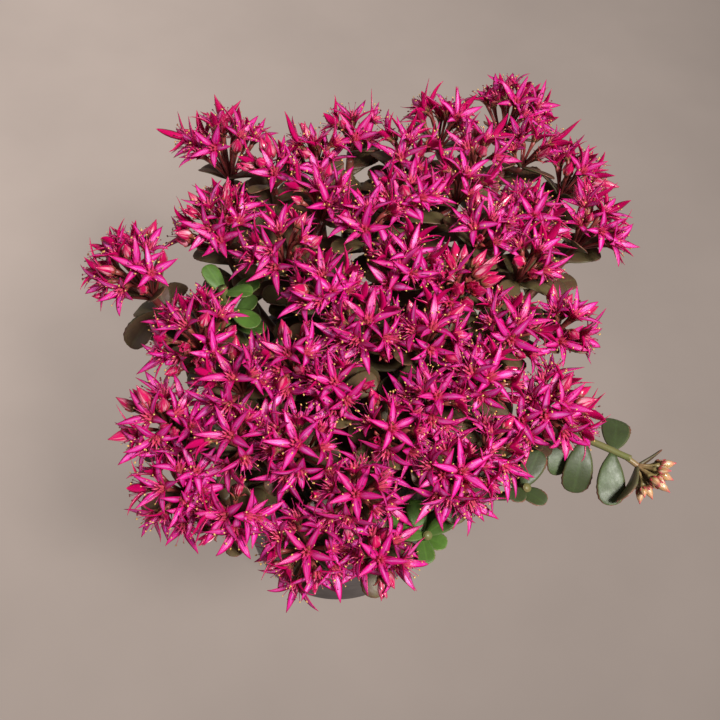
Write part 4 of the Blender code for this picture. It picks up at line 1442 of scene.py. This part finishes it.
class SEDUM_OT_flowers(bpy.types.Operator):
    """Build every cyme: petals, pods, stamens, sepals, buds, stalks and bracts"""

    bl_idname = "sedum.flowers"
    bl_label = "Cymes"

    def execute(self, context):
        settings = context.scene.sedum_flowers
        tones = context.scene.sedum_leaves
        petal = petal_finish(settings)
        pink_bud, pale_bud = (bud_finish(name, *row) for name, row in BUD_TONES.items())
        small = {name: graded_finish(name, *row) for name, row in PART_TONES.items()}
        pale_stalk = small.pop("stalk_pale")
        bract = leaf_finish(
            "bract", tuple(tones.bronze), tuple(tones.olive), tuple(tones.margin), BRONZE_UNDERSIDE
        )
        blooms = {name: bloom_of(name) for name in CYMES}
        bases = [flower["base"] for name in CYMES for flower in blooms[name]]
        for index, name in enumerate(CYMES):
            trails = name == TRAILING_CYME
            rng = np.random.default_rng([settings.seed, index])
            surface = Surface()
            if trails:
                more, joints = further_buds(name, rng)
            else:
                more, joints = side_flowers(name, settings.fillers, bases, rng)
            found = blooms[name] + more
            opened = [flower for flower in found if len(flower["tips"]) > 1]
            closed = [flower for flower in found if len(flower["tips"]) == 1]
            pedicels(surface, found, joints_of(name) + joints, rng)
            if opened:
                self.open_flowers(surface, opened, settings, rng)
            self.buds(surface, closed, 1.0 if trails else SHUT_SHARE, rng)
            self.branches(surface, name, TRAILING_R if trails else BRANCH_R, rng)
            bracts = bract_rows(name, rng)
            leaves(surface, bracts, rng.uniform(0, 1, len(bracts)), BRACTS, rng)
            finishes = [petal, *small.values(), bract, pink_bud]
            if trails:
                finishes[STALKS], finishes[BUDS] = pale_stalk, pale_bud
            thing = surface.to_object("bloom_" + name.removeprefix("cyme_"), finishes)
            finish_piece(thing, name)
        return {"FINISHED"}

    def open_flowers(self, surface, opened, settings, rng):
        """The petals, pods, stamens and sepals of the open flowers."""
        vary = rng.uniform(0, 1, len(opened))
        base, facing, _ = wheel(opened, PETAL_COUNT)
        tips = np.concatenate([flower["tips"] for flower in opened])
        own = np.repeat(vary, PETAL_COUNT) * 0.7 + rng.uniform(0, 0.3, len(tips))
        width, thick = settings.petal_width, settings.petal_thickness
        petal_blades(surface, base, facing, tips, width, thick, own, PETALS, rng)
        carpels(surface, opened, vary, rng)
        stamens(surface, opened, vary, rng)
        sepals(surface, opened, vary, rng)

    def buds(self, surface, closed, shut_share, rng):
        """The buds, of which this share is still closed and the rest is about to open."""
        draw = rng.uniform(0, 1, len(closed))
        shut = [bud for bud, share in zip(closed, draw) if share < shut_share]
        ajar = [bud for bud, share in zip(closed, draw) if share >= shut_share]
        for build, some in ((closed_buds, shut), (opening_buds, ajar)):
            if some:
                build(surface, some, rng.uniform(0, 1, len(some)), rng)

    def branches(self, surface, name, thick, rng):
        """The branch under each cymule, from the cyme's foot on its stem."""
        foot, axis = cyme_root(name)
        for centre, radius, _, _ in cymules_of(name):
            lean = lean_of(centre)
            joint = centre - lean * (CORE_FOOT * radius - 0.6 * MM)
            reach = np.linalg.norm(joint - foot)
            line = curves([foot], [foot + axis * reach * 0.4], [joint - lean * reach * 0.4], [joint], 8)
            tubes(surface, line, thick, 10, [rng.uniform()], STALKS)


class SEDUM_OT_leaves(bpy.types.Operator):
    """Build every stem and shoot with its leaves"""

    bl_idname = "sedum.leaves"
    bl_label = "Stems and leaves"

    def execute(self, context):
        settings = context.scene.sedum_leaves
        bronze, olive, green, margin = (
            tuple(getattr(settings, key)) for key in ("bronze", "olive", "green", "margin")
        )
        dark_leaf = leaf_finish("leaf_bronze", bronze, olive, margin, BRONZE_UNDERSIDE)
        shade = tuple(part * 0.45 for part in green)
        green_leaf = leaf_finish("leaf_green", shade, green, GREEN_MARGIN, GREEN_UNDERSIDE)
        deep_leaf = leaf_finish("leaf_deep", *DEEP_LEAF)
        red_stem = stem_finish("stem_red", *RED_STEM)
        pale_stem = stem_finish("stem_green", *GREEN_STEM)
        lines = plant_lines()
        petals = [cyme_samples(name) for name in CYMES]
        placed = {name: [thickened(line) for line in lines[name]] for name in lines}
        for index, name in enumerate(lines):
            rng = np.random.default_rng([SEED, 900 + index])
            others = petals + [rows for other in placed if other != name for rows in placed[other]]
            found = leaves_of(name, lines[name], others, list(placed[name]), rng)
            placed[name] += [samples for _, samples in found]
            rng = np.random.default_rng([settings.seed, index])
            surface = Surface()
            rows = [leaf for leaf, _ in found]
            shoot, trails = name in SHOOTS, name == TRAILING_STEM
            if not shoot and not trails:
                rows += understory(lines[name], settings.understory, rng)
            if rows:
                leaves(surface, rows, rng.uniform(0, 1, len(rows)), 0, rng)
            stem_tubes(surface, lines[name], TRAILING_R if trails else TWIG_R, rng)
            blade = deep_leaf if trails or name == "shoot_right" else green_leaf if shoot else dark_leaf
            thing = surface.to_object("foliage_" + name, [blade, pale_stem if shoot or trails else red_stem])
            finish_piece(thing, name)
        return {"FINISHED"}


def stem_tubes(surface, lines, end, rng):
    """The stem and its side branches: the first narrows from STEM_R to its end, which is into the head."""
    for place, line in enumerate(lines):
        line = np.concatenate([line, line[-1:] + unit(line[-1] - line[-2]) * STEM_INTO])
        fine = smooth_line(line)[None]
        share = np.linspace(0, 1, fine.shape[1])[None]
        radius = end + (STEM_R - end) * (1 - share) * (place == 0)
        radius[:, -3:] = np.minimum(radius[:, -3:], BRANCH_R - 0.1 * MM)
        tubes(surface, fine, radius, 12, [rng.uniform()], 1)


def understory(lines, pairs, rng):
    """Further pairs of leaves on each branch, close under the flowers and lower down."""
    rows = []
    for place, line in enumerate(lines):
        fine = smooth_line(line)[::-1]
        lengths = distances(fine)
        turn = rng.uniform(0, math.pi)
        for k in range(pairs if place == 0 else pairs - 1):
            down = (1.5 + 6 * k) * MM
            if down > lengths[-1] - 4 * MM:
                break
            root = point_at(fine, lengths, down)
            for side in (0.0, math.pi):
                angle = turn + side + rng.normal(0, 0.25)
                way = unit((math.cos(angle), math.sin(angle), rng.uniform(-0.1, 0.35)))
                rows.append((root, way, top_side(way), rng.uniform(11.5, 16.5) * MM, rng.uniform(0.0, 0.3)))
            turn += math.pi / 2 + rng.normal(0, 0.2)
    return rows


def smooth_line(line):
    """The line's points with more between them, on a Catmull-Rom curve: each span is the cubic through
    its two ends whose slopes are half the step between the points on either side."""
    line = np.asarray(line)
    ends = np.concatenate([[2 * line[0] - line[1]], line, [2 * line[-1] - line[-2]]])
    t = np.linspace(0, 1, 7)[:-1, None]
    spans = []
    for a, b, c, d in zip(ends, ends[1:], ends[2:], ends[3:]):
        square, cube = 2 * a - 5 * b + 4 * c - d, 3 * b - a - 3 * c + d
        spans.append(0.5 * (2 * b + (c - a) * t + square * t**2 + cube * t**3))
    return np.concatenate([*spans, line[-1:]])


class SEDUM_OT_pot(bpy.types.Operator):
    """Build the pot"""

    bl_idname = "sedum.pot"
    bl_label = "Pot"

    def execute(self, context):
        surface = Surface()
        lathe(surface, pot_profile(), POT_SIDES)
        thing = surface.to_object("nursery_pot", [pot_finish(context.scene.sedum_pot)])
        drill(thing)
        finish_piece(thing, "pot")
        return {"FINISHED"}


# The pot's sides, the ridges on its wall, and the radius at which its section ends beside the axis
POT_SIDES = 128
RIDGE = 0.25 * MM
POLE_R = 0.6 * MM


def wall_r(z):
    """The outer radius of the pot's tapered wall at a height."""
    return BASE_R + (RIM_R - COLLAR_STEP - BASE_R) * z / POT_H


def pot_profile():
    """The pot's section from the axis, under the floor, up the wall, over the lip and back to the axis."""
    step = POT_H - COLLAR_H
    collar = wall_r(step) + COLLAR_STEP
    inner = RIM_R - COLLAR_STEP - WALL
    edge = RIM_R - 0.7 * MM
    rows = [(POLE_R, 0.8 * MM), (18 * MM, 0.8 * MM), (20 * MM, 0.0), (BASE_R - 2.2 * MM, 0.0)]
    rows += [(BASE_R - 1.0 * MM, 0.25 * MM), (BASE_R - 0.2 * MM, 0.9 * MM), (wall_r(1.8 * MM), 1.8 * MM)]
    for z in (step * 0.3, step * 0.6):
        ridge, top = wall_r(z) + RIDGE, z + 2 * MM
        rows += [(wall_r(z), z), (ridge, z + 0.5 * MM), (ridge, z + 1.3 * MM), (wall_r(top), top)]
    rows += [(wall_r(step - 2.2 * MM), step - 2.2 * MM), (wall_r(step) + 0.15 * MM, step - 1.0 * MM)]
    rows += [(collar - 0.5 * MM, step - 0.25 * MM), (collar - 0.1 * MM, step), (collar, step + 0.7 * MM)]
    rows += [(RIM_R - 0.15 * MM, POT_H - 2.6 * MM), (RIM_R, POT_H - 1.8 * MM)]
    for turn in np.linspace(math.pi / 2, 0, 6):
        rows.append((edge + math.sin(turn) * 0.7 * MM, POT_H - 0.8 * MM + math.cos(turn) * 0.8 * MM))
    rows += [(inner + 0.7 * MM, POT_H), (inner + 0.2 * MM, POT_H - 0.3 * MM), (inner, POT_H - 1.0 * MM)]
    rows += [(wall_r(FLOOR + 2 * MM) - WALL, FLOOR + 2 * MM), (wall_r(FLOOR) - WALL - 1.2 * MM, FLOOR)]
    return rows + [(POLE_R, FLOOR)]


def lathe(surface, profile, sides):
    """The profile turned about Z: a point is (r cos(turn), r sin(turn), z). Both ends close on the axis."""
    radius, height = np.array(profile).T[..., None]
    turns = np.arange(sides) * TURN / sides
    level = np.repeat(height, sides, axis=1)
    rings = np.stack([radius * np.cos(turns), radius * np.sin(turns), level], axis=-1)
    closed_rings(surface, rings, [(0, 0, height[0, 0]), (0, 0, height[-1, 0])])


def drill(thing):
    """Cuts the drain holes through the floor."""
    cutter = Surface()
    for k in range(DRAIN_HOLES):
        turn = TURN * k / DRAIN_HOLES
        centre = np.array([math.cos(turn), math.sin(turn), 0.0]) * DRAIN_RING_R
        line = centre + np.array([[0, 0, -3], [0, 0, 0], [0, 0, 5]]) * MM
        tubes(cutter, line[None], np.full((1, 3), DRAIN_R), 32, [0.0], 0)
    holes = cutter.to_object("holes", [])
    cut = thing.modifiers.new("holes", "BOOLEAN")
    cut.operation, cut.object, cut.solver = "DIFFERENCE", holes, "EXACT"
    graph = bpy.context.evaluated_depsgraph_get()
    drilled = bpy.data.meshes.new_from_object(thing.evaluated_get(graph))
    thing.modifiers.clear()
    thing.data = drilled
    bpy.data.objects.remove(holes)


class SEDUM_OT_soil(bpy.types.Operator):
    """Build the potting mix"""

    bl_idname = "sedum.soil"
    bl_label = "Soil"

    def execute(self, context):
        settings = context.scene.sedum_soil
        rng = np.random.default_rng(settings.seed)
        surface = Surface()
        ground(surface)
        crumbs(surface, settings.grains, rng)
        grit = plain_finish("grit", (0.10, 0.065, 0.045), 0.9, 900.0)
        perlite = plain_finish("perlite", (0.55, 0.52, 0.47), 0.9, 1200.0)
        thing = surface.to_object("potting_mix", [soil_finish(), grit, perlite])
        finish_piece(thing, "soil")
        return {"FINISHED"}


# The soil's mesh, and the share of its crumbs that are peat and not perlite
SOIL_SIDES = 120
SOIL_RINGS = 34
PEAT_SHARE = 0.85


def soil_height(x, y):
    """The uneven top of the soil: three waves of different lengths."""
    return SOIL_Z + SOIL_BUMP * (np.sin(x * 170) * np.cos(y * 210 + 1) + 0.5 * np.sin(x * 390 - y * 330))


def ground(surface):
    """A plug just clear of the pot's wall and floor. Its top is soil_height with small crumbs:
    0.5 mm * sin(1700 x + 900 y) * cos(1500 y - 700 x), plus half of that at twice the pitch."""
    low, edge = FLOOR + CLEAR, SOIL_Z - 2 * SOIL_BUMP
    radius = wall_r(edge) - WALL - CLEAR
    foot_r = wall_r(low) - WALL - CLEAR
    shares = np.linspace(1, 0.02, SOIL_RINGS)[:, None]
    turns = np.arange(SOIL_SIDES) * TURN / SOIL_SIDES
    x, y = (radius * shares * turned for turned in (np.cos(turns), np.sin(turns)))
    fine = np.sin(1700 * x + 900 * y) * np.cos(1500 * y - 700 * x)
    fine = fine + 0.5 * np.sin(3300 * x - 1900 * y) * np.cos(3100 * y)
    z = soil_height(x, y) + 0.5 * MM * fine * np.minimum(1, (1 - shares) * 8)
    z = np.where(shares > 0.999, edge, z)
    foot = [
        np.stack([foot_r * f * np.cos(turns), foot_r * f * np.sin(turns), np.full(SOIL_SIDES, low)], -1)
        for f in (0.1, 1.0)
    ]
    rings = np.concatenate([foot, np.stack([x, y, z], axis=-1)])
    closed_rings(surface, rings, [rings[0].mean(axis=0), rings[-1].mean(axis=0)])


def crumbs(surface, count, rng):
    """Small rough lumps pressed into the soil: short fat forms along lines of random direction."""
    reach = (wall_r(SOIL_Z) - WALL - 3 * MM) * np.sqrt(rng.uniform(0, 1, count))
    turn = rng.uniform(0, TURN, count)
    x, y = reach * np.cos(turn), reach * np.sin(turn)
    place = np.stack([x, y, soil_height(x, y) + 0.4 * MM], axis=-1)
    way = units(rng.normal(0, 1, (count, 3)))
    size = rng.uniform(0.5, 1.5, (count, 1)) * MM
    steps = np.array([-1.0, -0.6, 0.1, 0.7, 1.0])[None, :, None]
    line = place[:, None] + way[:, None] * (size[..., None] * steps)
    across, up = sides_of(line)
    swell = size * np.array([0.3, 0.75, 0.85, 0.6, 0.25]) * rng.uniform(0.75, 1.25, (count, 5))
    split = int(count * PEAT_SHARE)
    for rows, paint in ((slice(0, split), 1), (slice(split, count), 2)):
        swept(surface, line[rows], across[rows], up[rows], swell[rows], swell[rows] * 0.8, 6, 0.5, paint)


class SEDUM_OT_stage(bpy.types.Operator):
    """Build the floor, the lights and the camera"""

    bl_idname = "sedum.stage"
    bl_label = "Stage"

    def execute(self, context):
        settings = context.scene.sedum_stage
        floor(settings)
        lights(settings)
        camera(settings)
        return {"FINISHED"}


# The floor, and how its colour and glow are painted darker to the right and towards the camera, as a light
# falloff: from one place to another, in metres, and from one share to another
FLOOR_SIZE = 6.0
FADE_RIGHT = (-0.22, 0.24, 1.08, 0.6)
FADE_NEAR = (-0.18, 0.1, 0.74, 1.06)
# The share of the floor's colour that takes the lamps' light; its glow gives the rest and lightens the
# shadows cast on it
FLOOR_BASE = (0.25, 0.25, 0.25)
# The lights: each one's size, place and colour. The sky has a colour and a strength.
KEY_LIGHT = (0.25, (0.45, -0.5, 1.05), (1.0, 0.955, 0.92))
FILL_LIGHT = (1.2, (-1.3, 0.5, 1.0), (0.95, 0.96, 1.0))
LIT_POINT = (0.0, 0.0, 0.12)
SKY = ((1.0, 0.92, 0.92, 1.0), 0.13)
# The camera: the point it looks at, how far off it is, how far it looks down and leans, and the shift of
# its frame as shares of the frame
LOOK_AT = np.array([0.0, 0.0, 115.0]) * MM
CAMERA_AWAY = 350.0 * MM
CAMERA_DOWN = math.radians(53.0)
CAMERA_ROLL = math.radians(6.0)
CAMERA_SHIFT = (8 / 720, 6 / 720)


def floor(settings):
    """A flat square sheet that also gives some light of its own, which lightens the shadows on it. Its colour
    and glow are painted darker to the right and towards the camera, as a light falloff.
    """
    mesh = bpy.data.meshes.new("floor")
    c = FLOOR_SIZE / 2
    mesh.from_pydata([(-c, -c, 0), (c, -c, 0), (c, c, 0), (-c, c, 0)], [], [(0, 1, 2, 3)])
    sheet = bpy.data.objects.new("floor", mesh)
    bpy.context.scene.collection.objects.link(sheet)
    look = Finish("floor")
    clouded = look.cloudy(9.0, 5.0, tuple(settings.floor_colour), 0.88)
    fades = (look.ranged(look.position(axis), *row) for axis, row in enumerate((FADE_RIGHT, FADE_NEAR)))
    falloff_toned = look.mixed(1.0, clouded, look.sums("MULTIPLY", *fades), "MULTIPLY")
    look.feed("Base Color", look.mixed(1.0, falloff_toned, FLOOR_BASE, "MULTIPLY"))
    look.feed("Emission Color", falloff_toned)
    look.shader.inputs["Emission Strength"].default_value = settings.floor_glow
    look.polish(0.9)
    mesh.materials.append(look.material)


def aimed(thing, place, target):
    """Places a light or camera and turns it to look at a point."""
    thing.location = place
    thing.rotation_euler = (Vector(target) - Vector(place)).to_track_quat("-Z", "Y").to_euler()
    bpy.context.scene.collection.objects.link(thing)


def lights(settings):
    """A main light from the upper right, a wide fill from the left, and a soft sky."""
    for name, watts, (size, place, colour) in (
        ("key", settings.key_watts, KEY_LIGHT),
        ("fill", settings.fill_watts, FILL_LIGHT),
    ):
        lamp = bpy.data.lights.new(name, "AREA")
        lamp.energy, lamp.size, lamp.color = watts, size, colour
        aimed(bpy.data.objects.new(name, lamp), place, LIT_POINT)
    world = bpy.data.worlds.new("studio")
    world.use_nodes = True
    backdrop = world.node_tree.nodes["Background"]
    backdrop.inputs["Color"].default_value, backdrop.inputs["Strength"].default_value = SKY
    bpy.context.scene.world = world


def camera(settings):
    """The view from in front and above, turned a little about the line of sight."""
    look = np.array([0.0, math.cos(CAMERA_DOWN), -math.sin(CAMERA_DOWN)])
    up = np.array([0.0, math.sin(CAMERA_DOWN), math.cos(CAMERA_DOWN)])
    right = np.array([1.0, 0.0, 0.0])
    lens = bpy.data.cameras.new("camera")
    lens.lens, lens.sensor_width, lens.clip_start = settings.focal_length, 36.0, 0.01
    lens.shift_x, lens.shift_y = CAMERA_SHIFT
    viewer = bpy.data.objects.new("camera", lens)
    turned = np.eye(4)
    turned[:3, 0] = right * math.cos(CAMERA_ROLL) + up * math.sin(CAMERA_ROLL)
    turned[:3, 1] = -right * math.sin(CAMERA_ROLL) + up * math.cos(CAMERA_ROLL)
    turned[:3, 2] = -look
    turned[:3, 3] = LOOK_AT - look * CAMERA_AWAY
    viewer.matrix_world = Matrix(turned.tolist())
    scene = bpy.context.scene
    scene.collection.objects.link(viewer)
    scene.camera = viewer
    scene.view_settings.view_transform = "Standard"


class SEDUM_PT_panel(bpy.types.Panel):
    """Lists the plant's settings and pieces"""

    bl_idname = "SEDUM_PT_panel"
    bl_label = "Potted Sedum"
    bl_space_type = "VIEW_3D"
    bl_region_type = "UI"
    bl_category = "Sedum"

    def draw(self, context):
        for operator in OPERATORS:
            self.layout.operator(operator.bl_idname)
        for name, group in SETTINGS.items():
            box = self.layout.box()
            for key in group.__annotations__:
                box.prop(getattr(context.scene, name), key)


OPERATORS = (SEDUM_OT_flowers, SEDUM_OT_leaves, SEDUM_OT_soil, SEDUM_OT_pot, SEDUM_OT_stage)


def register():
    for group in SETTINGS.values():
        bpy.utils.register_class(group)
    for name, group in SETTINGS.items():
        setattr(bpy.types.Scene, name, bpy.props.PointerProperty(type=group))
    for operator in OPERATORS:
        bpy.utils.register_class(operator)
    bpy.utils.register_class(SEDUM_PT_panel)


def unregister():
    bpy.utils.unregister_class(SEDUM_PT_panel)
    for operator in reversed(OPERATORS):
        bpy.utils.unregister_class(operator)
    for name, group in SETTINGS.items():
        delattr(bpy.types.Scene, name)
        bpy.utils.unregister_class(group)


def main():
    """Builds every piece and the stage."""
    register()
    bpy.ops.sedum.flowers()
    bpy.ops.sedum.leaves()
    bpy.ops.sedum.soil()
    bpy.ops.sedum.pot()
    bpy.ops.sedum.stage()


if __name__ == "__main__":
    main()
